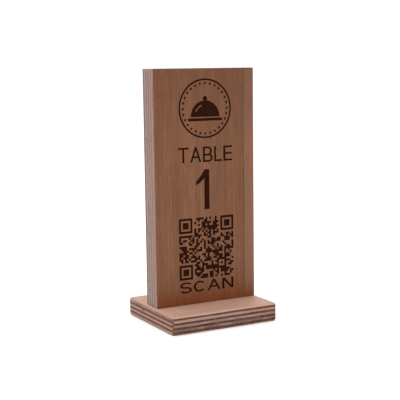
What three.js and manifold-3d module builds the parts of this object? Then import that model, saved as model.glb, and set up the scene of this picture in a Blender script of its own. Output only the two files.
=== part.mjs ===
// Table number holder: an engraved plywood upright that stands on a plywood base and is glued
// and screwed to it from underneath. Millimetres, +Z up, the engraved face looks along -Y, and
// the origin is the middle of the base's underside. Every veneer sheet of the two plywood
// panels is a mesh of its own.
import * as THREE from "three";
import { mergeVertices } from "three/addons/utils/BufferGeometryUtils.js";
import Module from "manifold-3d";

const wasm = await Module();
wasm.setup();

// ---------- Upright panel ----------
const UPRIGHT_WIDTH = 90;
const UPRIGHT_HEIGHT = 190; // from the top of the base
const UPRIGHT_THICKNESS = 20;
const UPRIGHT_PLIES = 11;
const UPRIGHT_VENEER = 1.2; // each face sheet: the core sheets share the rest equally

// ---------- Base panel ----------
const BASE_THICKNESS = 15;
const BASE_PLIES = 9;
const BASE_VENEER = 1.2;
const BASE_SIDE_MARGIN = 2.5; // base showing at each end of the upright
const BASE_FOOT = 31; // base showing in front of the upright, and behind it
const BASE_CORNER_RADIUS = 3; // seen from above
const BASE_EDGE_RADIUS = 2; // sanded round along the top and bottom edges
const BASE_EDGE_STEPS = 3;
const BASE_CORNER_STEPS = 3;

// ---------- Countersunk wood screws ----------
const SCREW_LENGTH = 40;
const SCREW_DIAMETER = 3.5;
const SCREW_HEAD_DIAMETER = 7;
const SCREW_HEAD_RIM = 0.4; // straight rim above the head's cone
const SCREW_POINT_LENGTH = 5;
const SCREW_RECESS = 0.5; // head below the underside of the base
const SCREW_SPACING = 50;
const SCREW_CLEARANCE = 0.3; // all round, and beyond the point
const SCREW_SIDES = 20;

// ---------- Engraving ----------
const ENGRAVING_DEPTH = 0.4;
const CUTTER_OVERRUN = 1; // how far the cutters stand out of the face
const GLYPH_STEPS = 6; // steps to a quarter turn, at least
const EMBLEM_DIAMETER = 47.5;
const EMBLEM_RING = 1.4;
const EMBLEM_STEPS = 64;
const BEAD_COUNT = 28;
const BEAD_DIAMETER = 1.9;
const BEAD_INSET = 3.7; // from the outside of the ring to the beads' centres
const COVER_WIDTH = 26; // the serving cover's dome
const COVER_HEIGHT = 13;
const COVER_KNOB_DIAMETER = 4;
const COVER_KNOB_SINK = 0.4; // how far the knob sits in the top of the dome
const COVER_GAP = 1; // between the dome and its plate
const PLATE_WIDTH = 31;
const PLATE_HEIGHT = 2.2;
const GLINT_INSET = 3; // the unburnt streak, from the dome's outline
const GLINT_WIDTH = 1;
const WORD = { text: "TABLE", height: 12.3, width: 49.5, stem: 1.75, bar: 1.5, spacing: 1.5 };
const CAPTION = { text: "SCAN", height: 9.1, width: 49.6, stem: 2.1, bar: 1.3, spacing: 1.5 };
const NUMERAL_HEIGHT = 32.4;
const NUMERAL_STEM = 4.6;
const NUMERAL_OFFSET = 0.75; // from the middle of the face to the middle of the stem
const NUMERAL_CREST = 0.4; // the flag's upper edge starts this far inside the stem's left side
const FLAG_REACH = 7.5; // from the stem's left side to the flag's tip
const FLAG_DROP = 9.7; // from the top of the stem to the flag's tip
const FLAG_BAND = 2.8; // the flag's thickness at its tip
const FLAG_ROOT = 7.2; // from the top of the stem to the flag's lower edge at the stem
const FLAG_SAG = 1; // hollow of the flag's upper and lower edges
const CODE_SIZE = 50;
const CODE_CELLS = 29;
const CODE_SPREAD = 0.06; // each burnt cell is this much larger on every side
const FINDER_CELLS = 7;
const MARKER_CELLS = 5;
const MARKER_INSET = 4; // cells from the code's far corner to the marker square

// The engraved items are stacked down the face, and what height they leave is shared between
// the gaps in these proportions: above the emblem, between the items, and below the caption.
const GAP_SHARES = [8.1, 6.8, 5.9, 6.4, 1.8, 9.7];

// ---------- Worked out from the above ----------
const BASE_LENGTH = UPRIGHT_WIDTH + 2 * BASE_SIDE_MARGIN;
const BASE_DEPTH = UPRIGHT_THICKNESS + 2 * BASE_FOOT;
const FACE_TOP = BASE_THICKNESS + UPRIGHT_HEIGHT;
const FRONT = -UPRIGHT_THICKNESS / 2;
const CODE_CELL = CODE_SIZE / CODE_CELLS;

// ---------- Finishes ----------
const finish = (color, roughness, metalness = 0) =>
  new THREE.MeshStandardMaterial({ color, roughness, metalness });
const FACE_VENEER = finish(0x8f5f47, 0.5);
const TOP_VENEER = finish(0xb58f78, 0.55);
const LONG_GRAIN_PLY = finish(0xa98670, 0.7);
const END_GRAIN_PLY = finish(0x6d4434, 0.85);
const ZINC = finish(0xb9b4a6, 0.35, 1);

// ---------- Solids ----------

// A closed three.js geometry as a solid that can be joined and cut.
function solid(geometry) {
  const bare = geometry.clone();
  bare.deleteAttribute("normal");
  bare.deleteAttribute("uv");
  const merged = mergeVertices(bare, 1e-4);
  return new wasm.Manifold(
    new wasm.Mesh({
      numProp: 3,
      vertProperties: merged.attributes.position.array,
      triVerts: new Uint32Array(merged.index.array),
    }),
  );
}

// A solid as a named mesh in its place.
function piece(name, body, material) {
  const { numProp, vertProperties, triVerts } = body.getMesh();
  const geometry = new THREE.BufferGeometry();
  geometry.setAttribute("position", new THREE.BufferAttribute(vertProperties, numProp));
  geometry.setIndex(new THREE.BufferAttribute(triVerts, 1));
  geometry.computeVertexNormals();
  const mesh = new THREE.Mesh(geometry, material);
  mesh.name = name;
  return mesh;
}

// A box between two opposite corners.
function block(low, high) {
  const size = high.map((value, axis) => value - low[axis]);
  const middle = high.map((value, axis) => (value + low[axis]) / 2);
  return solid(new THREE.BoxGeometry(...size).translate(...middle));
}

const join = (bodies) => bodies.reduce((whole, body) => whole.add(body));

// ---------- Screws ----------

// Half the outline of a screw, head down, grown by a clearance and started at a height.
function screwProfile(grow, start) {
  const shank = SCREW_DIAMETER / 2 + grow;
  const head = SCREW_HEAD_DIAMETER / 2 + grow;
  const rim = SCREW_RECESS + SCREW_HEAD_RIM + grow;
  const tip = SCREW_RECESS + SCREW_LENGTH + grow;
  return [
    new THREE.Vector2(0, start),
    new THREE.Vector2(head, start),
    new THREE.Vector2(head, rim),
    new THREE.Vector2(shank, rim + head - shank),
    new THREE.Vector2(shank, tip - SCREW_POINT_LENGTH),
    new THREE.Vector2(0, tip),
  ];
}

// A solid of that profile, standing at a distance from the middle.
function screwBody(x, grow, start) {
  const turned = new THREE.LatheGeometry(screwProfile(grow, start), SCREW_SIDES);
  return solid(turned.rotateX(Math.PI / 2).translate(x, 0, 0));
}

const SCREW_PLACES = { screw_left: -SCREW_SPACING / 2, screw_right: SCREW_SPACING / 2 };
const screwHoles = join(
  Object.values(SCREW_PLACES).map((x) => screwBody(x, SCREW_CLEARANCE, -CUTTER_OVERRUN)),
);

function screws() {
  const group = new THREE.Group();
  for (const [name, x] of Object.entries(SCREW_PLACES)) {
    group.add(piece(name, screwBody(x, 0, SCREW_RECESS), ZINC));
  }
  return group;
}

// ---------- Engraved shapes, drawn flat in X and Y ----------

function polygon(...points) {
  return new THREE.Shape(points.map(([x, y]) => new THREE.Vector2(x, y)));
}

const bar = (x0, y0, x1, y1) => polygon([x0, y0], [x1, y0], [x1, y1], [x0, y1]);

function disc(x, y, radius) {
  return new THREE.Shape().absarc(x, y, radius, 0, 2 * Math.PI, false);
}

// A band along part of an ellipse, `stem` wide at its sides and `flat` high at its ends.
function arcBand(x, y, rx, ry, from, to, stem, flat) {
  const band = new THREE.Shape();
  band.absellipse(x, y, rx, ry, from, to, false);
  band.absellipse(x, y, rx - stem, ry - flat, to, from, true);
  return band;
}

// The bowl of a B between two heights: a D-shaped outline with a D-shaped hole.
function bowl(y0, y1, width, stem, flat) {
  const radius = (y1 - y0) / 2;
  const hollow = radius - flat;
  const middle = (y0 + y1) / 2;
  const outline = new THREE.Shape();
  outline.moveTo(0, y0);
  outline.lineTo(width - radius, y0);
  outline.absarc(width - radius, middle, radius, -Math.PI / 2, Math.PI / 2, false);
  outline.lineTo(0, y1);
  const hole = new THREE.Path();
  hole.moveTo(stem, y0 + flat);
  hole.lineTo(width - stem - hollow, y0 + flat);
  hole.absarc(width - stem - hollow, middle, hollow, -Math.PI / 2, Math.PI / 2, false);
  hole.lineTo(stem, y1 - flat);
  outline.holes.push(hole);
  return outline;
}

// A letter's share of a word's width.
const LETTER_WIDTHS = { A: 1.15, B: 1, C: 1.05, E: 0.95, L: 0.8, N: 1, S: 1, T: 1.05 };

// How each letter fills a width w and a height h from the origin.
const LETTERS = {
  A: (w, h, stem, flat) => {
    const crossTop = 0.28 * h + flat;
    const inset = ((w - stem) / 2) * (crossTop / h) + stem / 2;
    return [
      polygon([0, 0], [stem, 0], [(w + stem) / 2, h], [(w - stem) / 2, h]),
      polygon([w - stem, 0], [w, 0], [(w + stem) / 2, h], [(w - stem) / 2, h]),
      bar(inset, crossTop - flat, w - inset, crossTop),
    ];
  },
  B: (w, h, stem, flat) => [
    bowl(0, 0.53 * h, w, stem, flat),
    bowl(0.53 * h - flat, h, 0.94 * w, stem, flat),
  ],
  C: (w, h, stem, flat) => {
    const mouth = Math.PI / 4.5;
    return [arcBand(w / 2, h / 2, w / 2, h / 2, mouth, 2 * Math.PI - mouth, stem, flat)];
  },
  E: (w, h, stem, flat) => [
    bar(0, 0, stem, h),
    bar(0, 0, w, flat),
    bar(0, (h - flat) / 2, 0.92 * w, (h + flat) / 2),
    bar(0, h - flat, w, h),
  ],
  L: (w, h, stem, flat) => [bar(0, 0, stem, h), bar(0, 0, w, flat)],
  N: (w, h, stem) => [
    bar(0, 0, stem, h),
    bar(w - stem, 0, w, h),
    polygon([w - 1.15 * stem, 0], [w, 0], [1.15 * stem, h], [0, h]),
  ],
  S: (w, h, stem, flat) => {
    const turn = (h + flat) / 4;
    const mouth = Math.PI / 9;
    return [
      arcBand(w / 2, h - turn, w / 2, turn, mouth, 1.5 * Math.PI, stem, flat),
      arcBand(w / 2, turn, w / 2, turn, mouth - Math.PI, 0.5 * Math.PI, stem, flat),
    ];
  },
  T: (w, h, stem, flat) => [
    bar(0, h - flat, w, h),
    bar((w - stem) / 2, 0, (w + stem) / 2, h),
  ],
};

const total = (values) => values.reduce((sum, value) => sum + value, 0);

// A solid cutter for flat shapes, laid into the front face with its (0, 0) at x and z.
function cutter(shapes, x, z) {
  const depth = ENGRAVING_DEPTH + CUTTER_OVERRUN;
  const settings = { depth, bevelEnabled: false, curveSegments: GLYPH_STEPS };
  const bodies = shapes.map((shape) => {
    const flat = new THREE.ExtrudeGeometry(shape, settings);
    return solid(flat.rotateX(Math.PI / 2).translate(x, FRONT + ENGRAVING_DEPTH, z));
  });
  return join(bodies);
}

// A word centred on the face, standing on the height z.
function wordCutter({ text, height, width, stem, bar: flat, spacing }, z) {
  const letters = [...text];
  const shares = letters.map((letter) => LETTER_WIDTHS[letter]);
  const unit = (width - spacing * (letters.length - 1)) / total(shares);
  let x = -width / 2;
  const cutters = letters.map((letter, index) => {
    const letterWidth = unit * shares[index];
    const body = cutter(LETTERS[letter](letterWidth, height, stem, flat), x, z);
    x += letterWidth + spacing;
    return body;
  });
  return join(cutters);
}

// The numeral 1: a stem with a flag that hangs from its top towards the left.
function numeralCutter(z) {
  const left = NUMERAL_OFFSET - NUMERAL_STEM / 2;
  const right = NUMERAL_OFFSET + NUMERAL_STEM / 2;
  const crest = left + NUMERAL_CREST;
  const tip = left - FLAG_REACH;
  const tipTop = NUMERAL_HEIGHT - FLAG_DROP;
  const tipBottom = tipTop - FLAG_BAND;
  const root = NUMERAL_HEIGHT - FLAG_ROOT;
  const one = new THREE.Shape();
  one.moveTo(left, 0);
  one.lineTo(right, 0);
  one.lineTo(right, NUMERAL_HEIGHT);
  one.lineTo(crest, NUMERAL_HEIGHT);
  one.quadraticCurveTo((crest + tip) / 2, (NUMERAL_HEIGHT + tipTop) / 2 - FLAG_SAG, tip, tipTop);
  one.lineTo(tip, tipBottom);
  one.quadraticCurveTo((tip + left) / 2, (tipBottom + root) / 2 - FLAG_SAG, left, root);
  return cutter([one], 0, z);
}

// The ring round the emblem, as a solid disc of the emblem's size less a smaller one.
function ringCutter(centre) {
  const depth = 2 * ENGRAVING_DEPTH;
  const tube = (radius, height) => {
    const round = new THREE.CylinderGeometry(radius, radius, height, EMBLEM_STEPS);
    return solid(round.translate(0, FRONT, centre));
  };
  const outer = EMBLEM_DIAMETER / 2;
  return tube(outer, depth).subtract(tube(outer - EMBLEM_RING, 2 * depth));
}

// The emblem: a thin ring, a circle of beads, and a serving cover on its plate.
function emblemCutter(z) {
  const beadCircle = EMBLEM_DIAMETER / 2 - BEAD_INSET;
  const beads = Array.from({ length: BEAD_COUNT }, (_, index) => {
    const angle = (2 * Math.PI * index) / BEAD_COUNT;
    return disc(beadCircle * Math.cos(angle), beadCircle * Math.sin(angle), BEAD_DIAMETER / 2);
  });
  const knobRadius = COVER_KNOB_DIAMETER / 2;
  const height = PLATE_HEIGHT + COVER_GAP + COVER_HEIGHT + COVER_KNOB_DIAMETER - COVER_KNOB_SINK;
  const plateTop = PLATE_HEIGHT - height / 2;
  const domeFoot = plateTop + COVER_GAP;
  const dome = new THREE.Shape();
  dome.absellipse(0, domeFoot, COVER_WIDTH / 2, COVER_HEIGHT, 0, Math.PI, false);
  const glintWidth = COVER_WIDTH / 2 - GLINT_INSET;
  const glintHeight = COVER_HEIGHT - GLINT_INSET;
  const [from, to] = [0.6 * Math.PI, 0.85 * Math.PI];
  dome.holes.push(
    arcBand(0, domeFoot, glintWidth, glintHeight, from, to, GLINT_WIDTH, GLINT_WIDTH),
  );
  const knob = disc(0, domeFoot + COVER_HEIGHT - COVER_KNOB_SINK + knobRadius, knobRadius);
  const plate = bar(-PLATE_WIDTH / 2, plateTop - PLATE_HEIGHT, PLATE_WIDTH / 2, plateTop);
  const centre = z + EMBLEM_DIAMETER / 2;
  return join([ringCutter(centre), cutter([...beads, dome, knob, plate], 0, centre)]);
}

// Whether a cell of a square target is burnt: a ring one cell wide round a solid core.
function targetCell(row, column, cells) {
  const edge = Math.min(row, column, cells - 1 - row, cells - 1 - column);
  return edge !== 1;
}

// Whether a cell of the code is burnt. Three corner squares, one marker square and two dotted
// lines stand in a field that a plain sum scatters, so the pattern stands for no message.
function codeCell(row, column) {
  const far = CODE_CELLS - FINDER_CELLS;
  const corners = [[0, 0], [0, far], [far, 0]];
  for (const [top, left] of corners) {
    const inRow = row - top;
    const inColumn = column - left;
    if (inRow >= 0 && inRow < FINDER_CELLS && inColumn >= 0 && inColumn < FINDER_CELLS) {
      return targetCell(inRow, inColumn, FINDER_CELLS);
    }
    if (inRow >= -1 && inRow <= FINDER_CELLS && inColumn >= -1 && inColumn <= FINDER_CELLS) {
      return false;
    }
  }
  const markerRow = row - (CODE_CELLS - MARKER_INSET - MARKER_CELLS);
  const markerColumn = column - (CODE_CELLS - MARKER_INSET - MARKER_CELLS);
  const inMarker = [markerRow, markerColumn].every((at) => at >= 0 && at < MARKER_CELLS);
  if (inMarker) {
    return targetCell(markerRow, markerColumn, MARKER_CELLS);
  }
  if (row === FINDER_CELLS - 1 || column === FINDER_CELLS - 1) {
    return (row + column) % 2 === 0;
  }
  const mixed = (row * 167 + column * 311 + row * column * 29 + 53) % 1009;
  return (mixed * mixed + 7 * mixed) % 1013 < 506;
}

// The code: every unbroken run of burnt cells in a row is one bar.
function codeCutter(z) {
  const bars = [];
  const left = -CODE_SIZE / 2;
  for (let row = 0; row < CODE_CELLS; row += 1) {
    const top = CODE_SIZE - row * CODE_CELL + CODE_SPREAD;
    const bottom = top - CODE_CELL - 2 * CODE_SPREAD;
    let start = -1;
    for (let column = 0; column <= CODE_CELLS; column += 1) {
      const burnt = column < CODE_CELLS && codeCell(row, column);
      if (burnt && start < 0) {
        start = column;
      }
      if (!burnt && start >= 0) {
        const from = left + start * CODE_CELL - CODE_SPREAD;
        bars.push(bar(from, bottom, left + column * CODE_CELL + CODE_SPREAD, top));
        start = -1;
      }
    }
  }
  return cutter(bars, 0, z);
}

// All the engraving, stacked down the face.
function engraving() {
  const items = [
    [EMBLEM_DIAMETER, emblemCutter],
    [WORD.height, (z) => wordCutter(WORD, z)],
    [NUMERAL_HEIGHT, numeralCutter],
    [CODE_SIZE, codeCutter],
    [CAPTION.height, (z) => wordCutter(CAPTION, z)],
  ];
  const spare = UPRIGHT_HEIGHT - total(items.map(([height]) => height));
  const gaps = GAP_SHARES.map((share) => (share / total(GAP_SHARES)) * spare);
  let z = FACE_TOP;
  const cutters = items.map(([height, make], index) => {
    z -= gaps[index] + height;
    return make(z);
  });
  return join(cutters);
}

// ---------- Panels ----------

// The whole base as one block: round corners, and round top and bottom edges.
function baseBlank() {
  const halfLength = BASE_LENGTH / 2 - BASE_EDGE_RADIUS;
  const halfDepth = BASE_DEPTH / 2 - BASE_EDGE_RADIUS;
  const radius = BASE_CORNER_RADIUS - BASE_EDGE_RADIUS;
  const outline = new THREE.Shape();
  outline.absarc(halfLength - radius, radius - halfDepth, radius, -Math.PI / 2, 0, false);
  outline.absarc(halfLength - radius, halfDepth - radius, radius, 0, Math.PI / 2, false);
  outline.absarc(radius - halfLength, halfDepth - radius, radius, Math.PI / 2, Math.PI, false);
  outline.absarc(radius - halfLength, radius - halfDepth, radius, Math.PI, 1.5 * Math.PI, false);
  const body = new THREE.ExtrudeGeometry(outline, {
    depth: BASE_THICKNESS - 2 * BASE_EDGE_RADIUS,
    bevelThickness: BASE_EDGE_RADIUS,
    bevelSize: BASE_EDGE_RADIUS,
    bevelSegments: BASE_EDGE_STEPS,
    curveSegments: BASE_CORNER_STEPS,
  });
  return solid(body.translate(0, 0, BASE_EDGE_RADIUS));
}

// A panel's sheets, counted from its first face: each one's name and its two distances from
// that face. The two face sheets have the veneer's thickness and the core shares the rest.
function sheets(panel, thickness, count, veneer, firstFace, lastFace) {
  const core = (thickness - 2 * veneer) / (count - 2);
  return Array.from({ length: count }, (_, index) => {
    const last = index === count - 1;
    const outer = index === 0 || last;
    return {
      name: outer ? `${panel}_${last ? lastFace : firstFace}_veneer` : `${panel}_core_ply_${index}`,
      from: index === 0 ? 0 : veneer + (index - 1) * core,
      to: last ? thickness : veneer + index * core,
      outer,
      plyMaterial: index % 2 === 0 ? LONG_GRAIN_PLY : END_GRAIN_PLY,
    };
  });
}

// The base's sheets, from the table up.
function basePanel() {
  const group = new THREE.Group();
  const blank = baseBlank().subtract(screwHoles);
  const stack = sheets("base", BASE_THICKNESS, BASE_PLIES, BASE_VENEER, "bottom", "top");
  for (const { name, from, to, outer, plyMaterial } of stack) {
    const layer = block([-BASE_LENGTH, -BASE_DEPTH, from], [BASE_LENGTH, BASE_DEPTH, to]);
    group.add(piece(name, blank.intersect(layer), outer ? TOP_VENEER : plyMaterial));
  }
  return group;
}

// The upright's sheets, from the front back: the first one carries the engraving.
function uprightPanel() {
  const group = new THREE.Group();
  const half = UPRIGHT_WIDTH / 2;
  const stack = sheets(
    "upright", UPRIGHT_THICKNESS, UPRIGHT_PLIES, UPRIGHT_VENEER, "front", "back",
  );
  for (const { name, from, to, outer, plyMaterial } of stack) {
    const blank = block([-half, FRONT + from, BASE_THICKNESS], [half, FRONT + to, FACE_TOP]);
    const sheet = blank.subtract(screwHoles);
    const body = from === 0 ? sheet.subtract(engraving()) : sheet;
    group.add(piece(name, body, outer ? FACE_VENEER : plyMaterial));
  }
  return group;
}

const tableNumberHolder = new THREE.Group();
tableNumberHolder.add(basePanel(), uprightPanel(), screws());

export default tableNumberHolder;
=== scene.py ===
"""Looks of a table number holder: an engraved plywood upright on a plywood base.

The two plywood panels are rebuilt sheet by sheet, with sanded arrises, glue lines that stray,
torn end grain and the gaps that core sheets have. The upright's front sheet is engraved by real
pockets with scorched floors, and the screws have their driver recess and their thread.

Pieces are modelled in millimetres and made into objects in metres. +Z is up and the engraved
face looks along -Y.
"""

import logging
import math
from collections.abc import Callable, Iterable, Sequence
from dataclasses import dataclass, field
from enum import Enum

import bmesh
import bpy
from mathutils import Matrix, Vector, noise


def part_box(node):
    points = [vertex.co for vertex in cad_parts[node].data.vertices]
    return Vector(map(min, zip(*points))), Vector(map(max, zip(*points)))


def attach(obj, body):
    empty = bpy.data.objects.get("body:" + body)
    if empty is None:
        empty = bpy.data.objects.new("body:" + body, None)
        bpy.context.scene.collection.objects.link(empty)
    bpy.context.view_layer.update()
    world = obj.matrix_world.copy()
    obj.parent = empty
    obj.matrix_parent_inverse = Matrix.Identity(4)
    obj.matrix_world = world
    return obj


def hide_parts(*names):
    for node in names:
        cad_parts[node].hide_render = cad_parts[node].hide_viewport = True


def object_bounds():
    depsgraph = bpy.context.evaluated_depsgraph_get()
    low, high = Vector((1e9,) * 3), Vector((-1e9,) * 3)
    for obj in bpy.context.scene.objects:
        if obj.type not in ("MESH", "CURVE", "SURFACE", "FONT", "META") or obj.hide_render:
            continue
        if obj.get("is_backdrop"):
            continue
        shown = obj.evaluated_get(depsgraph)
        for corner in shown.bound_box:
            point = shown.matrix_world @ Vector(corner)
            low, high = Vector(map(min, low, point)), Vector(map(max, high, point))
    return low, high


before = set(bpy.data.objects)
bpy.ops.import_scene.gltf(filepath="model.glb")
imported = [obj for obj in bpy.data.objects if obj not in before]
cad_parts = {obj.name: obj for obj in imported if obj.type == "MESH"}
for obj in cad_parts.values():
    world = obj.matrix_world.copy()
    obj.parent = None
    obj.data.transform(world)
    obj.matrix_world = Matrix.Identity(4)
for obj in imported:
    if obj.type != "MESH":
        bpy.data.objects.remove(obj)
cad_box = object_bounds()

LOG = logging.getLogger("table_number_holder")
BODY = "root"
PER_METRE = 1000.0  # millimetres
SLIVER = 2e-6  # metres
TOUCH = 1e-3  # millimetres: points closer than this are in the same place
SEED_STEPS = (17.3, 5.1, 9.7)  # how far one more seed moves a field
GLUE_ATTRIBUTE = "glue_line"
SHEET_ATTRIBUTE = "sheet_number"
ARRIS_ATTRIBUTE = "sanded_arris"
# The sheet mark below carries staining and painted shade alike.
STAIN_AND_SHADE_ATTRIBUTE = "sheet_stain_and_shade"


# ---------------------------------------------------------------- places and colours


class Axis(Enum):
    """One of the frame's three directions, by its place in a vector."""

    X = 0
    Y = 1
    Z = 2

    @property
    def vector(self) -> Vector:
        """The unit vector along this direction."""
        return Vector([1.0 if place == self.value else 0.0 for place in range(3)])

    @property
    def others(self) -> tuple[int, int]:
        """The places of the two other directions."""
        first, second = (place for place in range(3) if place != self.value)
        return first, second


@dataclass(frozen=True)
class Tint:
    """A colour in the values that a display shows, each from 0 to 255."""

    red: int
    green: int
    blue: int

    @property
    def linear(self) -> tuple[float, float, float, float]:
        """The same colour as light, which is what a shader takes.

        Returns:
            Red, green, blue and a full alpha, from 0 to 1.
        """

        def light(value: int) -> float:
            """One channel as light."""
            share = value / 255
            return share / 12.92 if share <= 0.04045 else ((share + 0.055) / 1.055) ** 2.4

        return light(self.red), light(self.green), light(self.blue), 1.0


def node_box(nodes: Iterable[str]) -> tuple[Vector, Vector]:
    """The lowest and highest corner of several CAD nodes together, in millimetres.

    Args:
        nodes: The nodes' names.

    Returns:
        The two corners.
    """
    corners = [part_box(node) for node in nodes]
    low = Vector([min(corner[0][place] for corner in corners) for place in range(3)])
    high = Vector([max(corner[1][place] for corner in corners) for place in range(3)])
    return low * PER_METRE, high * PER_METRE


def swelling(position: Vector, size: float, seed: float = 0.0) -> float:
    """A smooth field from about -1 to 1, with swellings of a size, and a field of its own for each seed."""
    return noise.noise(position / size + Vector([seed * step for step in SEED_STEPS]))


# ---------------------------------------------------------------- objects


def new_object(name: str, bm: bmesh.types.BMesh) -> bpy.types.Object:
    """Makes an object of a shape in millimetres, which is freed.

    Args:
        name: The object's name.
        bm: The shape, in its place.

    Returns:
        The object, in metres and at the origin.
    """
    bmesh.ops.scale(bm, vec=(1 / PER_METRE,) * 3, verts=bm.verts[:])
    mesh = bpy.data.meshes.new(name)
    bm.to_mesh(mesh)
    bm.free()
    made = bpy.data.objects.new(name, mesh)
    bpy.context.scene.collection.objects.link(made)
    return made


def combine(
    body: bpy.types.Object, tool: bpy.types.Object, operation: str,
    crossing: bool = False, keep_tint: bool = False,
) -> None:
    """Cuts a body with a tool, or joins them.

    Args:
        body: The object that is changed.
        tool: The other object, which stays as it is.
        operation: DIFFERENCE or UNION.
        crossing: Whether the tool is made of shapes that cross each other.
        keep_tint: Whether the new faces take the tool's material.
    """
    modifier = body.modifiers.new("combine", "BOOLEAN")
    modifier.operation = operation
    modifier.object = tool
    modifier.solver = "EXACT"
    modifier.use_self = crossing
    modifier.material_mode = "TRANSFER" if keep_tint else "INDEX"
    depsgraph = bpy.context.evaluated_depsgraph_get()
    result = bpy.data.meshes.new_from_object(body.evaluated_get(depsgraph))
    body.modifiers.clear()
    mend(result)
    old = body.data
    body.data = result
    bpy.data.meshes.remove(old)


def mend(mesh: bpy.types.Mesh) -> None:
    """Merges the slivers that a boolean leaves, and removes the loose edges and points.

    Args:
        mesh: The boolean's result.
    """
    bm = bmesh.new()
    bm.from_mesh(mesh)
    bmesh.ops.remove_doubles(bm, verts=bm.verts[:], dist=SLIVER)
    bmesh.ops.dissolve_degenerate(bm, edges=bm.edges[:], dist=SLIVER)
    bmesh.ops.delete(bm, geom=[edge for edge in bm.edges if edge.is_wire], context="EDGES")
    bmesh.ops.delete(bm, geom=[vert for vert in bm.verts if not vert.link_faces], context="VERTS")
    bm.to_mesh(mesh)
    bm.free()


def discard(tool: bpy.types.Object) -> None:
    """Removes a tool and its mesh.

    Args:
        tool: The object, which nothing else uses.
    """
    mesh = tool.data
    bpy.data.objects.remove(tool)
    bpy.data.meshes.remove(mesh)


def settle(piece: bpy.types.Object, node: str) -> None:
    """Puts a finished piece on the body and in the place of its CAD node.

    Args:
        piece: The piece.
        node: The node that it stands for.
    """
    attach(piece, BODY)
    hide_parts(node)
    LOG.info("%s stands for %s: %d faces", piece.name, node, len(piece.data.polygons))


def lathe(
    bm: bmesh.types.BMesh, profile: Sequence[tuple[float, float]], x: float, y: float, steps: int,
) -> None:
    """Turns a half outline round a vertical axis.

    Args:
        bm: Where the shape is added.
        profile: The outline's points as radius and height, from one end of the axis to the other.
        x: The axis's place.
        y: The axis's place.
        steps: Sides to a full turn.
    """
    points = [bm.verts.new((x + radius, y, height)) for radius, height in profile]
    lines = [bm.edges.new(pair) for pair in zip(points, points[1:])]
    bmesh.ops.spin(
        bm, geom=points + lines, cent=(x, y, 0), axis=(0, 0, 1), angle=2 * math.pi,
        steps=steps, use_merge=True, use_duplicate=False,
    )
    bmesh.ops.remove_doubles(bm, verts=bm.verts[:], dist=TOUCH)
    bmesh.ops.recalc_face_normals(bm, faces=bm.faces[:])


# ---------------------------------------------------------------- shader wiring

Socket = bpy.types.NodeSocket
Given = Socket | float | Sequence[float]
MIX_INPUTS = (0, 6, 7)  # the places of a colour mix's factor and its two colours
MIX_RESULT = 2  # the place of its colour output


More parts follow.
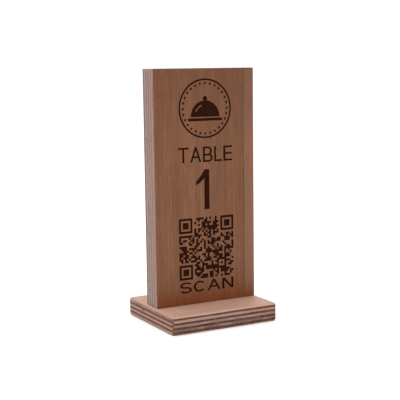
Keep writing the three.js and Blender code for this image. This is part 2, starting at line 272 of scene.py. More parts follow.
class Wiring:
    """Adds nodes to one shader tree and joins them."""

    def __init__(self, tree: bpy.types.NodeTree) -> None:
        """Keeps the tree that the nodes go in."""
        self.tree = tree

    def node(self, kind: str, **settings: object) -> bpy.types.Node:
        """Adds a node and sets its options.

        Args:
            kind: The node's type.
            **settings: Its options, by name.

        Returns:
            The node.
        """
        made = self.tree.nodes.new(kind)
        for name, value in settings.items():
            setattr(made, name, value)
        return made

    def feed(self, socket: Socket, value: Given) -> None:
        """Joins a socket to another one, or sets its own value.

        Args:
            socket: The input.
            value: The output that feeds it, or its value.
        """
        if isinstance(value, bpy.types.NodeSocket):
            self.tree.links.new(value, socket)
        else:
            socket.default_value = value

    def maths(self, operation: str, first: Given, second: Given = 0.0) -> Socket:
        """One sum on two numbers.

        Args:
            operation: The sum's name.
            first: The first number.
            second: The second one.

        Returns:
            The result.
        """
        made = self.node("ShaderNodeMath", operation=operation)
        self.feed(made.inputs[0], first)
        self.feed(made.inputs[1], second)
        return made.outputs[0]

    def vectors(self, operation: str, first: Given, second: Given) -> Socket:
        """One sum on two vectors, which gives a vector or, for a dot product, a number.

        Args:
            operation: The sum's name.
            first: The first vector.
            second: The second one.

        Returns:
            The result.
        """
        made = self.node("ShaderNodeVectorMath", operation=operation)
        self.feed(made.inputs[0], first)
        self.feed(made.inputs[1], second)
        return made.outputs["Value" if operation == "DOT_PRODUCT" else "Vector"]

    def spread(self, value: Given, low: float, high: float, start: float = 0.0, end: float = 1.0) -> Socket:
        """Spreads a number's range from low to high over another one, smoothly and clamped.

        Args:
            value: The number.
            low: Where its range begins.
            high: Where its range ends.
            start: What low becomes.
            end: What high becomes.

        Returns:
            The new number.
        """
        made = self.node("ShaderNodeMapRange", interpolation_type="SMOOTHSTEP")
        labels = ("Value", "From Min", "From Max", "To Min", "To Max")
        for label, given in zip(labels, (value, low, high, start, end)):
            self.feed(made.inputs[label], given)
        return made.outputs["Result"]

    def blend(self, share: Given, first: Given, second: Given) -> Socket:
        """Blends two colours.

        Args:
            share: How much of the second there is.
            first: A colour.
            second: Another.

        Returns:
            The blended colour.
        """
        made = self.node("ShaderNodeMix", data_type="RGBA")
        for place, value in zip(MIX_INPUTS, (share, first, second)):
            self.feed(made.inputs[place], value)
        return made.outputs[MIX_RESULT]

    def tinge(self, colour: Given, mask: Given, strength: Given, tint: Given) -> Socket:
        """A colour with a tint laid over it, as far as a mask and a strength say."""
        return self.blend(self.maths("MULTIPLY", mask, strength), colour, tint)

    def cloud(self, place: Socket, size: Given, detail: float = 3.0, rough: float = 0.55) -> Socket:
        """A cloudy pattern round 0.5, with swellings of a size in the place's own units.

        Args:
            place: Where it is read.
            size: How wide its swellings are, along each direction.
            detail: How many finer layers it has.
            rough: How strong they are.

        Returns:
            The pattern.
        """
        made = self.node("ShaderNodeTexNoise")
        self.feed(made.inputs["Vector"], self.vectors("DIVIDE", place, size))
        made.inputs["Scale"].default_value = 1.0
        made.inputs["Detail"].default_value = detail
        made.inputs["Roughness"].default_value = rough
        return made.outputs[0]

    def spots(self, place: Socket, size: Given) -> Socket:
        """The distance to scattered points, whose spacing is a size in the place's own units.

        Args:
            place: Where it is read.
            size: The spacing along each direction.

        Returns:
            The distance, in spacings.
        """
        made = self.node("ShaderNodeTexVoronoi")
        self.feed(made.inputs["Vector"], self.vectors("DIVIDE", place, size))
        made.inputs["Scale"].default_value = 1.0
        return made.outputs["Distance"]

    def number(self, attribute: str) -> Socket:
        """A number that the piece's mesh carries."""
        return self.node("ShaderNodeAttribute", attribute_name=attribute).outputs["Fac"]


NUMBER, DIRECTION = "NodeSocketFloat", "NodeSocketVector"
PLACE = (DIRECTION, (0.0, 0.0, 0.0))


class Effect:
    """A shader node group with named inputs and outputs that several finishes share.

    The inputs are given by name, each with its kind and its usual value. The outputs are numbers.
    """

    name = ""
    inputs: dict[str, tuple[str, Given]] = {}
    outputs: tuple[str, ...] = ()

    def wire(self, wiring: Wiring, given: bpy.types.NodeOutputs) -> dict[str, Socket]:
        """Builds the group's nodes.

        Args:
            wiring: The group's own tree.
            given: The sockets that the group's inputs arrive at.

        Returns:
            The socket that feeds each output, by its name.
        """
        raise NotImplementedError

    def group(self) -> bpy.types.NodeTree:
        """The group, built at its first use.

        Returns:
            The group's tree.
        """
        found = bpy.data.node_groups.get(self.name)
        if found:
            return found
        tree = bpy.data.node_groups.new(self.name, "ShaderNodeTree")
        for label, (kind, value) in self.inputs.items():
            socket = tree.interface.new_socket(name=label, in_out="INPUT", socket_type=kind)
            socket.default_value = value
        for label in self.outputs:
            tree.interface.new_socket(name=label, in_out="OUTPUT", socket_type=NUMBER)
        wiring = Wiring(tree)
        given = wiring.node("NodeGroupInput")
        result = wiring.node("NodeGroupOutput")
        for label, socket in self.wire(wiring, given.outputs).items():
            wiring.feed(result.inputs[label], socket)
        return tree

    def use(self, wiring: Wiring, **values: Given) -> bpy.types.NodeOutputs:
        """Places the group in a material.

        Args:
            wiring: The material's tree.
            **values: The inputs, by name with an underscore for each space.

        Returns:
            The group's outputs.
        """
        made = wiring.node("ShaderNodeGroup", node_tree=self.group())
        for label, value in values.items():
            wiring.feed(made.inputs[label.replace("_", " ")], value)
        return made.outputs


class Fibre(Effect):
    """Beech figure in millimetres, with the fibres along the place's third direction."""

    name = "beech fibre"
    inputs = {"Place": PLACE, "Figure Width": (NUMBER, 7.0), "Wander": (NUMBER, 2.0)}
    outputs = ("Figure", "Streak", "Fibre", "Fleck", "Dash", "Pore", "Blush")

    def wire(self, wiring: Wiring, given: bpy.types.NodeOutputs) -> dict[str, Socket]:
        """Builds broad figure, streaks, fibres, ray flecks, short dashes, pores and warm patches.

        Args:
            wiring: The group's own tree.
            given: The sockets that its inputs arrive at.

        Returns:
            The socket that feeds each output, by its name.
        """
        place = given["Place"]
        sway = wiring.maths("SUBTRACT", wiring.cloud(place, (60, 60, 90), 2.0), 0.5)
        sway = wiring.maths("MULTIPLY", sway, given["Wander"])
        aside = wiring.node("ShaderNodeCombineXYZ")
        wiring.feed(aside.inputs[0], sway)
        wiring.feed(aside.inputs[1], sway)
        swayed = wiring.vectors("ADD", place, aside.outputs[0])
        width = wiring.node("ShaderNodeCombineXYZ")
        length = wiring.maths("MULTIPLY", given["Figure Width"], 30.0)
        for socket, value in zip(width.inputs, (given["Figure Width"], given["Figure Width"], length)):
            wiring.feed(socket, value)
        figure = wiring.cloud(swayed, width.outputs[0], 2.0, 0.5)
        streak = wiring.cloud(swayed, (1.6, 1.6, 70), 3.0, 0.6)
        fibre = wiring.cloud(swayed, (0.3, 0.3, 9), 3.0, 0.65)
        fleck = wiring.cloud(swayed, (0.45, 0.9, 2.6), 1.0, 0.5)
        dash = wiring.cloud(swayed, (0.9, 0.9, 6.5), 2.0, 0.5)
        pore = wiring.spots(swayed, (0.34, 0.34, 5.5))
        blush = wiring.cloud(swayed, (4, 4, 30), 3.0, 0.6)
        return {
            "Figure": wiring.spread(figure, 0.32, 0.68),
            "Streak": wiring.spread(streak, 0.3, 0.7),
            "Fibre": wiring.spread(fibre, 0.28, 0.72),
            "Fleck": wiring.spread(fleck, 0.6, 0.72),
            "Dash": wiring.spread(dash, 0.48, 0.66),
            "Pore": wiring.spread(pore, 0.16, 0.4, 1.0, 0.0),
            "Blush": wiring.spread(blush, 0.46, 0.66),
        }


class SawCut(Effect):
    """How much a surface crosses the fibres: 0 along them and 1 on end grain."""

    name = "cut across the grain"
    inputs = {"Grain": (DIRECTION, (0.0, 0.0, 1.0))}
    outputs = ("End Grain",)

    def wire(self, wiring: Wiring, given: bpy.types.NodeOutputs) -> dict[str, Socket]:
        """Compares the surface's direction with the fibres'.

        Args:
            wiring: The group's own tree.
            given: The sockets that its inputs arrive at.

        Returns:
            The socket that feeds each output, by its name.
        """
        facing = wiring.node("ShaderNodeNewGeometry").outputs["Normal"]
        along = wiring.maths("ABSOLUTE", wiring.vectors("DOT_PRODUCT", facing, given["Grain"]))
        return {"End Grain": wiring.spread(along, 0.35, 0.8)}


class Handling(Effect):
    """Smudges and fine sanding scratches that change how a surface shines."""

    name = "handling"
    inputs = {"Place": PLACE}
    outputs = ("Smudge", "Scratch")

    def wire(self, wiring: Wiring, given: bpy.types.NodeOutputs) -> dict[str, Socket]:
        """Builds soft patches, and hairlines along the fibres.

        Args:
            wiring: The group's own tree.
            given: The sockets that its inputs arrive at.

        Returns:
            The socket that feeds each output, by its name.
        """
        smudge = wiring.cloud(given["Place"], (26, 26, 34), 3.0, 0.6)
        scratch = wiring.cloud(given["Place"], (0.12, 0.12, 26), 2.0, 0.7)
        return {
            "Smudge": wiring.spread(smudge, 0.35, 0.68),
            "Scratch": wiring.spread(scratch, 0.6, 0.8),
        }


class Scorch(Effect):
    """Burnt wood left by a laser that crosses the face in fine lines."""

    name = "laser scorch"
    inputs = {"Place": PLACE}
    outputs = ("Ash", "Line")

    def wire(self, wiring: Wiring, given: bpy.types.NodeOutputs) -> dict[str, Socket]:
        """Builds blotches of lighter ash, and the laser's lines across the face.

        Args:
            wiring: The group's own tree.
            given: The sockets that its inputs arrive at.

        Returns:
            The socket that feeds each output, by its name.
        """
        ash = wiring.cloud(given["Place"], (0.9, 0.9, 5.0), 4.0, 0.65)
        line = wiring.cloud(given["Place"], (6.0, 6.0, 0.12), 1.0, 0.5)
        return {"Ash": wiring.spread(ash, 0.35, 0.75), "Line": wiring.spread(line, 0.35, 0.65)}


# ---------------------------------------------------------------- finishes

# How the fibres' direction is turned to the third one, for each grain.
GRAIN_TURNS = {
    Axis.X: (0.0, -math.pi / 2, 0.0),
    Axis.Y: (math.pi / 2, 0.0, 0.0),
    Axis.Z: (0.0, 0.0, 0.0),
}
SHEET_STEP = (37.1, 17.3, 61.7)  # millimetres of pattern between one sheet and the next


def grain_place(wiring: Wiring, grain: Axis) -> Socket:
    """A surface's place in millimetres, with the fibres along its third direction.

    Args:
        wiring: The material's tree.
        grain: The fibres' direction in the frame.

    Returns:
        The place, which differs from sheet to sheet.
    """
    mapping = wiring.node("ShaderNodeMapping")
    wiring.feed(mapping.inputs["Vector"], wiring.node("ShaderNodeTexCoord").outputs["Object"])
    mapping.inputs["Rotation"].default_value = GRAIN_TURNS[grain]
    mapping.inputs["Scale"].default_value = (PER_METRE,) * 3
    step = wiring.node("ShaderNodeVectorMath", operation="SCALE")
    step.inputs[0].default_value = SHEET_STEP
    wiring.feed(step.inputs["Scale"], wiring.number(SHEET_ATTRIBUTE))
    return wiring.vectors("ADD", mapping.outputs[0], step.outputs[0])


def new_material(name: str) -> tuple[bpy.types.Material, Wiring, bpy.types.Node]:
    """Makes an empty material.

    Args:
        name: Its name.

    Returns:
        The material, its wiring and its shader.
    """
    material = bpy.data.materials.new(name)
    material.use_nodes = True
    return material, Wiring(material.node_tree), material.node_tree.nodes["Principled BSDF"]


def emboss(wiring: Wiring, shader: bpy.types.Node, height: Socket, depth: float, strength: float) -> None:
    """Raises a shader's surface.

    Args:
        wiring: The material's tree.
        shader: The shader.
        height: The height's pattern, from 0 to 1.
        depth: What a height of 1 measures, in millimetres.
        strength: The bump's strength.
    """
    bump = wiring.node("ShaderNodeBump")
    bump.inputs["Strength"].default_value = strength
    bump.inputs["Distance"].default_value = depth / PER_METRE
    wiring.feed(bump.inputs["Height"], height)
    wiring.feed(shader.inputs["Normal"], bump.outputs[0])


@dataclass(frozen=True)
class Timber:
    """Beech as it shows along and across its fibres.

    The pale and deep tints are those of the figure, the end tints those of sawn ends, the warm
    one that of heartwood patches, and the dark one that of pores, flecks and glue. The tint for
    staining and painted shade goes where a sheet's mesh marks them, and the arris tint is
    painted shade on the sanded arris.
    """

    name: str
    grain: Axis
    pale: Tint
    deep: Tint
    end_pale: Tint
    end_deep: Tint
    dark: Tint = Tint(58, 30, 20)
    warm: Tint = Tint(150, 84, 54)
    # The tint of staining and of painted shade, where a sheet's mesh marks them.
    stain_and_shade: Tint = Tint(104, 72, 60)
    figure_width: float = 12.0
    wander: float = 6.0
    roughness: float = 0.5
    end_roughness: float = 0.75
    smudge: float = 0.1  # how much rougher handling leaves it
    relief: float = 0.03  # depth of the open grain, in millimetres
    lacquer: float = 0.0
    lacquer_roughness: float = 0.32
    shine: float = 0.3
    glue: float = 0.8  # how dark the glue lines look
    blush: float = 0.3  # how strong the heartwood patches are
    arris: float = 0.0  # how much painted shade lies on the sanded arris
    arris_shade_tint: Tint = Tint(58, 30, 20)

    def face_tint(self, wiring: Wiring, place: Socket, fibre: bpy.types.NodeOutputs) -> Socket:
        """The colour along the fibres.

        Args:
            wiring: The material's tree.
            place: Not used here; the surface's place, with the fibres along its third direction.
            fibre: The figure's outputs.

        Returns:
            The colour.
        """
        colour = wiring.tinge(self.pale.linear, fibre["Figure"], 0.55, self.deep.linear)
        colour = wiring.tinge(colour, fibre["Streak"], 0.65, self.deep.linear)
        colour = wiring.tinge(colour, fibre["Fibre"], 0.4, self.pale.linear)
        return wiring.tinge(colour, fibre["Dash"], 0.32, self.deep.linear)

    def tint(self, wiring: Wiring, place: Socket, fibre: bpy.types.NodeOutputs, end: Socket) -> Socket:
        """The colour all over, with its heartwood, staining and painted shade, painted shade on the sanded
        arris, and glue lines.

        Args:
            wiring: The material's tree.
            place: The surface's place, with the fibres along its third direction.
            fibre: The figure's outputs.
            end: How far the surface is end grain.

        Returns:
            The colour.
        """
        across = wiring.blend(fibre["Streak"], self.end_pale.linear, self.end_deep.linear)
        across = wiring.tinge(across, fibre["Pore"], 0.5, self.dark.linear)
        along = wiring.tinge(self.face_tint(wiring, place, fibre), fibre["Fleck"], 0.4, self.dark.linear)
        colour = wiring.blend(end, along, across)
        patches = wiring.spread(wiring.cloud(place, (6, 6, 12), 2.0), 0.36, 0.6, 0.25, 1.0)
        # The sheet's marks lay staining and painted shade, and painted shade on the sanded arris.
        for mask, strength, tint in (
            (fibre["Blush"], self.blush, self.warm),
            (wiring.number(STAIN_AND_SHADE_ATTRIBUTE), patches, self.stain_and_shade),
            (wiring.number(ARRIS_ATTRIBUTE), self.arris, self.arris_shade_tint),
            (wiring.number(GLUE_ATTRIBUTE), self.glue, self.dark),
        ):
            colour = wiring.tinge(colour, mask, strength, tint.linear)
        return colour

    def build(self) -> bpy.types.Material:
        """Makes the material.

        Returns:
            The material.
        """
        material, wiring, shader = new_material(self.name)
        place = grain_place(wiring, self.grain)
        fibre = Fibre().use(wiring, Place=place, Figure_Width=self.figure_width, Wander=self.wander)
        end = SawCut().use(wiring, Grain=self.grain.vector)["End Grain"]
        handling = Handling().use(wiring, Place=place)
        wiring.feed(shader.inputs["Base Color"], self.tint(wiring, place, fibre, end))
        rough = wiring.spread(end, 0.0, 1.0, self.roughness, self.end_roughness)
        worn = wiring.maths("MULTIPLY", handling["Smudge"], self.smudge)
        wiring.feed(shader.inputs["Roughness"], wiring.maths("ADD", rough, worn))
        relief = wiring.maths("SUBTRACT", fibre["Fibre"], wiring.maths("MULTIPLY", fibre["Pore"], 0.7))
        relief = wiring.maths("SUBTRACT", relief, wiring.maths("MULTIPLY", handling["Scratch"], 0.3))
        emboss(wiring, shader, relief, self.relief, 0.6)
        shader.inputs["Specular IOR Level"].default_value = self.shine
        shader.inputs["Coat Weight"].default_value = self.lacquer
        shader.inputs["Coat Roughness"].default_value = self.lacquer_roughness
        return material


@dataclass(frozen=True)
class SplicedTimber(Timber):
    """A face sheet made of two strips of veneer that meet along a dark line."""

    splice: float = 36.0  # from the middle of the face
    splice_half: float = 0.5
    splice_edge: float = 0.3  # how far the one strip's tone reaches into the other's
    splice_sway: float = 1.2  # how far the line wanders
    strip: Tint = Tint(134, 96, 76)
    foot: Tint = Tint(112, 55, 14)  # painted shade and warm bounce light from the base, just above the joint
    bounce_shade_height: float = 24.0
    head_height: float = 75.0  # the sheet darkens towards its top edge over this height

    def face_tint(self, wiring: Wiring, place: Socket, fibre: bpy.types.NodeOutputs) -> Socket:
        """The colour along the fibres, with the second strip's own tone, the splice's dark line,
        painted shade and warm bounce light above the joint, and darkening towards the top edge.

        Args:
            wiring: The material's tree.
            place: The surface's place, with the fibres along its third direction.
            fibre: The figure's outputs.

        Returns:
            The colour.
        """
        parts = wiring.node("ShaderNodeSeparateXYZ")
        wiring.feed(parts.inputs[0], wiring.node("ShaderNodeTexCoord").outputs["Object"])
        aside, height = (wiring.maths("MULTIPLY", parts.outputs[axis], PER_METRE) for axis in "XZ")
        sway = wiring.maths("MULTIPLY", wiring.cloud(place, (50, 50, 60), 2.0), self.splice_sway)
        side = wiring.maths("ADD", aside, sway)
        beyond = wiring.spread(side, self.splice, self.splice + self.splice_edge)
        colour = wiring.tinge(super().face_tint(wiring, place, fibre), beyond, 0.5, self.strip.linear)
        away = wiring.maths("ABSOLUTE", wiring.maths("SUBTRACT", side, self.splice))
        line = wiring.spread(away, 0.0, self.splice_half * 2, 0.5, 0.0)
        colour = wiring.blend(line, colour, self.dark.linear)
        foot, head = (corner.z for corner in node_box(["upright_front_veneer"]))
        # Painted shade and warm bounce light from the base, strongest just above the joint.
        painted_bounce_shade = wiring.spread(height, foot, foot + self.bounce_shade_height, 0.85, 0.0)
        colour = wiring.blend(painted_bounce_shade, colour, self.foot.linear)
        darkened = wiring.spread(height, head - self.head_height, head, 0.0, 0.4)
        return wiring.blend(darkened, colour, self.deep.linear)


@dataclass(frozen=True)
class ScorchedWood:
    """The floor and walls of the engraving."""

    name: str
    burnt: Tint
    ash: Tint
    ash_share: float = 0.6
    relief: float = 0.05  # depth of the laser's lines and the ash, in millimetres
    roughness: float = 0.9

    def build(self) -> bpy.types.Material:
        """Makes the material.

        Returns:
            The material.
        """
        material, wiring, shader = new_material(self.name)
        scorch = Scorch().use(wiring, Place=grain_place(wiring, Axis.Z))
        colour = wiring.tinge(self.burnt.linear, scorch["Ash"], self.ash_share, self.ash.linear)
        wiring.feed(shader.inputs["Base Color"], colour)
        shader.inputs["Roughness"].default_value = self.roughness
        emboss(wiring, shader, wiring.maths("ADD", scorch["Ash"], scorch["Line"]), self.relief, 0.7)
        shader.inputs["Specular IOR Level"].default_value = 0.06
        return material


@dataclass(frozen=True)
class PlatedSteel:
    """Zinc-plated steel with faint patches and turning marks."""

    name: str
    bright: Tint
    dull: Tint
    roughness: float = 0.32
    wear: float = 0.2  # how much rougher the dull patches are
    relief: float = 0.01  # depth of the turning marks, in millimetres

    def build(self) -> bpy.types.Material:
        """Makes the material.

        Returns:
            The material.
        """
        material, wiring, shader = new_material(self.name)
        place = grain_place(wiring, Axis.Z)
        patch = Handling().use(wiring, Place=place)["Smudge"]
        wiring.feed(shader.inputs["Base Color"], wiring.blend(patch, self.bright.linear, self.dull.linear))
        worn = wiring.maths("MULTIPLY", patch, self.wear)
        wiring.feed(shader.inputs["Roughness"], wiring.maths("ADD", worn, self.roughness))
        emboss(wiring, shader, wiring.cloud(place, (0.5, 0.5, 0.08), 2.0), self.relief, 0.4)
        shader.inputs["Metallic"].default_value = 1.0
        return material


@dataclass(frozen=True)
class StudioPaper:
    """The pale floor, lit through like a light table, and clear from below."""

    name: str
    tint: Tint
    shade: Tint
    glow: float = 0.2

    def build(self) -> bpy.types.Material:
        """Makes the material.

        Returns:
            The material.
        """
        material, wiring, shader = new_material(self.name)
        place = grain_place(wiring, Axis.Z)
        mottle = wiring.cloud(place, (90, 90, 90), 2.0)
        wiring.feed(shader.inputs["Base Color"], wiring.blend(mottle, self.tint.linear, self.shade.linear))
        shader.inputs["Roughness"].default_value = 0.9
        shader.inputs["Specular IOR Level"].default_value = 0.1
        shader.inputs["Emission Color"].default_value = self.tint.linear
        shader.inputs["Emission Strength"].default_value = self.glow
        sides = wiring.node("ShaderNodeMixShader")
        wiring.feed(sides.inputs[0], wiring.node("ShaderNodeNewGeometry").outputs["Backfacing"])
        wiring.feed(sides.inputs[1], shader.outputs[0])
        wiring.feed(sides.inputs[2], wiring.node("ShaderNodeBsdfTransparent").outputs[0])
        wiring.feed(material.node_tree.nodes["Material Output"].inputs["Surface"], sides.outputs[0])
        return material


# ---------------------------------------------------------------- panels


@dataclass(frozen=True)
class Gap:
    """A gap in a core sheet's edge, where two strips of veneer don't quite meet.

    It starts at a distance from the side's lower end and runs along the side.
    """

    node: str
    side: Axis
    forward: bool  # on the side that faces the axis's positive direction
    start: float
    length: float
    height: float = 0.55  # share of the sheet's thickness
    depth: float = 4.0


@dataclass
class Panel:
    """A plywood panel, as a stack of sheets from its first face to its last."""

    nodes: list[str]
    stack: Axis
    face_grain: Axis
    cross_grain: Axis
    corner: float  # radius of the outline's corners
    arris: float  # radius of the sanded edges of the two faces
    face_slots: tuple[str, str]
    core_slots: tuple[str, str]  # sheets whose fibres run with the faces', and across them
    gaps: list[Gap] = field(default_factory=list)
    corner_steps: int = 6
    arris_steps: int = 5
    pitch: float = 0.8  # between columns of vertices along a side
    cap_inset: float = 0.7  # share of the corner radius, from a sheet's side to its flat middle
    shoulder: float = 0.3  # share of a sheet's thickness, from its faces to the rows of its side
    stray: float = 0.16  # how far a glue line strays
    squeeze: float = 0.18  # how much the cross sheets give way to the others at the side
    stains_and_shade: dict[tuple[str, Axis], float] = field(default_factory=dict)  # staining and painted shade, by sheet and side
    groove: float = 0.06  # how deep a glue line sits
    glue_band: float = 0.12
    tear: float = 0.11  # how deep end grain is torn
    pieces: dict[str, bpy.types.Object] = field(default_factory=dict)

    def __post_init__(self) -> None:
        """Reads the panel's box from its nodes."""
        self.low, self.high = node_box(self.nodes)

    def level(self, position: Vector) -> float:
        """Where a point is along the stack."""
        return position[self.stack.value]

    def runs(self, edge: bmesh.types.BMEdge, place: int) -> bool:
        """Whether an edge is a long one along one of the frame's directions."""
        along = edge.verts[1].co - edge.verts[0].co
        return along.length > 2 * self.corner and abs(along[place]) > 0.999 * along.length

    def blank(self) -> bmesh.types.BMesh:
        """The whole panel: round corners and arrises, its sides cut into narrow columns.

        Returns:
            The shape.
        """
        bm = bmesh.new()
        size = self.high - self.low
        size[self.stack.value] -= 2 * self.arris
        place = Matrix.Translation((self.low + self.high) / 2) @ Matrix.Diagonal((*size, 1.0))
        bmesh.ops.create_cube(bm, size=1.0, matrix=place)
        corners = [edge for edge in bm.edges if self.runs(edge, self.stack.value)]
        bmesh.ops.bevel(
            bm, geom=corners, offset=self.corner, offset_type="OFFSET", segments=self.corner_steps,
            profile=0.5, affect="EDGES", material=-1,
        )
        flats = [face for face in bm.faces if abs(self.level(face.normal)) > 0.9]
        bmesh.ops.delete(bm, geom=flats, context="FACES_ONLY")
        for direction in self.stack.others:
            long_edges = [edge for edge in bm.edges if self.runs(edge, direction)]
            cuts = round(size[direction] / self.pitch) - 1
            bmesh.ops.subdivide_edges(bm, edges=long_edges, cuts=cuts, use_grid_fill=False)
        rims = [edge for edge in bm.edges if edge.is_boundary]
        caps = bmesh.ops.holes_fill(bm, edges=rims, sides=0)["faces"]
        bmesh.ops.recalc_face_normals(bm, faces=bm.faces[:])
        for cap in caps:
            self.round_over(bm, cap)
        return bm

    def round_over(self, bm: bmesh.types.BMesh, cap: bmesh.types.BMFace) -> None:
        """Rounds the arris of one face, by insets that follow a quarter circle.

        Args:
            bm: The panel.
            cap: The face.
        """
        inset = rise = 0.0
        for step in range(1, self.arris_steps + 1):
            turn = math.pi / 2 * step / self.arris_steps
            next_inset = self.arris * (1 - math.cos(turn))
            next_rise = self.arris * math.sin(turn)
            bmesh.ops.inset_region(
                bm, faces=[cap], thickness=next_inset - inset, depth=next_rise - rise,
                use_even_offset=True, use_boundary=True,
            )
            inset, rise = next_inset, next_rise

    def is_face(self, level: float) -> bool:
        """Whether a level is one of the panel's two outer faces."""
        return min(abs(level - self.level(self.low)), abs(level - self.level(self.high))) < TOUCH

    def split(
        self, bm: bmesh.types.BMesh, level: float, clear_below: bool = False, clear_above: bool = False,
    ) -> None:
        """Cuts the shape's surface at a level of the stack, and may drop what is on one side.

        Args:
            bm: The shape.
            level: Where it is cut along the stack.
            clear_below: Whether what is below is dropped.
            clear_above: Whether what is above is dropped.
        """
        normal = self.stack.vector
        bmesh.ops.bisect_plane(
            bm, geom=bm.verts[:] + bm.edges[:] + bm.faces[:], plane_co=normal * level,
            plane_no=normal, clear_inner=clear_below, clear_outer=clear_above,
        )

    def sheet(self, blank: bmesh.types.BMesh, low: float, high: float) -> bmesh.types.BMesh:
        """One sheet of the blank, closed, with its sides cut into rows.

        Args:
            blank: The whole panel.
            low: Where the sheet begins along the stack.
            high: Where it ends.

        Returns:
            The sheet.
        """
        bm = blank.copy()
        for level, above in ((low, False), (high, True)):
            if self.is_face(level):
                continue
            self.split(bm, level, clear_below=not above, clear_above=above)
            rims = [edge for edge in bm.edges if edge.is_boundary]
            caps = bmesh.ops.holes_fill(bm, edges=rims, sides=0)["faces"]
            bmesh.ops.recalc_face_normals(bm, faces=bm.faces[:])
            bmesh.ops.inset_region(
                bm, faces=caps, thickness=self.cap_inset * self.corner, use_even_offset=True,
            )
        thickness = high - low
        shoulders = [low + self.shoulder * thickness, high - self.shoulder * thickness]
        for level in (low + self.glue_band, *shoulders, high - self.glue_band):
            self.split(bm, level)
        return bm

    def outward(self, position: Vector) -> Vector:
        """The way out of the panel's side: of length 1 on the side and less inside it.

        Args:
            position: The point.

        Returns:
            The way, which lies across the stack.
        """
        reach = Vector((0.0, 0.0, 0.0))
        for place in self.stack.others:
            nearest = min(max(position[place], self.low[place] + self.corner), self.high[place] - self.corner)
            reach[place] = position[place] - nearest
        return reach / self.corner

    def strayed(self, position: Vector, level: float, number: int) -> float:
        """How far a glue line strays along the stack.

        Args:
            position: The point on the side.
            level: Where the glue line is along the stack.
            number: The place in the panel of the sheet just before it.

        Returns:
            The distance along the stack.
        """
        if self.is_face(level):
            return 0.0
        wide = swelling(position, 21, level)
        narrow = swelling(position, 4, level + 3)
        toward_cross = self.squeeze if number % 2 == 0 else -self.squeeze
        return self.stray * (wide + 0.35 * narrow) + toward_cross

    def torn(self, position: Vector, out: Vector, grain: Axis, number: int) -> float:
        """How deep the saw and the sander left the side at a point.

        Args:
            position: The point.
            out: The way out of the side.
            grain: The fibres' direction.
            number: The sheet's place in the panel.

        Returns:
            The depth.
        """
        coarse = swelling(position, 1.9, number)
        if abs(out[grain.value]) < 0.5:
            return 0.25 * self.tear * max(0.0, coarse)
        fine = swelling(position, 0.7, number + 0.5)
        return self.tear * max(0.0, 0.35 + 0.6 * coarse + 0.5 * fine)

    def rests(self, position: Vector) -> bool:
        """Whether a point is on a side that meets another panel."""
        return False

    def weather(self, bm: bmesh.types.BMesh, low: float, high: float, grain: Axis, number: int) -> None:
        """Gives a sheet's side its straying glue lines, their grooves, and torn end grain.

        Args:
            bm: The sheet.
            low: Where it begins along the stack.
            high: Where it ends.
            grain: Its fibres' direction.
            number: Its place in the panel.
        """
        glue = bm.verts.layers.float.new(GLUE_ATTRIBUTE)
        tag = bm.verts.layers.float.new(SHEET_ATTRIBUTE)
        arris = bm.verts.layers.float.new(ARRIS_ATTRIBUTE)
        stain_and_shade = bm.verts.layers.float.new(STAIN_AND_SHADE_ATTRIBUTE)
        for vert in bm.verts:
            start = vert.co.copy()
            out = self.outward(start)
            level = self.level(start)
            share = (level - low) / (high - low)
            glued = any(abs(level - end) < TOUCH and not self.is_face(end) for end in (low, high))
            to_face = min(level - self.level(self.low), self.level(self.high) - level)
            vert[tag] = number
            # Staining, and painted shade on some sides, as the panel gives them by sheet and side.
            vert[stain_and_shade] = sum(
                abs(out[side.value]) * self.stains_and_shade.get((self.nodes[number], side), 0.0) for side in Axis
            )
            vert[glue] = 1.0 if glued else 0.0
            # Marks the rows of the sanded arris, where some finishes paint shade.
            vert[arris] = 1.0 if TOUCH < to_face < self.arris - TOUCH else 0.0
            if out.length < 0.9 or self.rests(start):
                continue
            depth = self.torn(start, out, grain, number) + (self.groove if glued else 0.0)
            vert.co -= out * depth
            below, above = self.strayed(start, low, number - 1), self.strayed(start, high, number)
            vert.co[self.stack.value] += (1 - share) * below + share * above

    def open_gap(self, bm: bmesh.types.BMesh, gap: Gap, low: float, high: float) -> None:
        """Opens a gap in the middle row of a sheet's side.

        Args:
            bm: The sheet.
            gap: The gap.
            low: Where the sheet begins along the stack.
            high: Where it ends.
        """
        side = gap.side.value
        run = next(place for place in self.stack.others if place != side)
        edge_at = (self.high if gap.forward else self.low)[side]
        begin = self.low[run] + gap.start
        middle = (low + high) / 2
        chosen = []
        for face in bm.faces:
            centre = face.calc_center_median()
            inside = begin < centre[run] < begin + gap.length
            central = abs(self.level(centre) - middle) < 0.15 * (high - low)
            if inside and central and abs(centre[side] - edge_at) < 0.5 and len(face.verts) == 4:
                chosen.append(face)
        for vert in {vert for face in chosen for vert in face.verts}:
            share = min(max((vert.co[run] - begin) / gap.length, 0.0), 1.0)
            swell = 1 - abs(2 * share - 1) ** 3
            half = (high - low) * (0.03 + 0.36 * gap.height * swell)
            half *= 1 + 0.3 * swelling(vert.co, 2.5, share)
            vert.co[self.stack.value] = middle + math.copysign(half, self.level(vert.co) - middle)
        grown = bmesh.ops.extrude_face_region(bm, geom=chosen)["geom"]
        bmesh.ops.delete(bm, geom=chosen, context="FACES")
        inward = gap.side.vector * (-gap.depth if gap.forward else gap.depth)
        verts = [item for item in grown if isinstance(item, bmesh.types.BMVert)]
        bmesh.ops.translate(bm, verts=verts, vec=inward)

    def grain_of(self, number: int) -> Axis:
        """The fibres' direction in a sheet, counted from the first face."""
        return self.face_grain if number % 2 == 0 else self.cross_grain

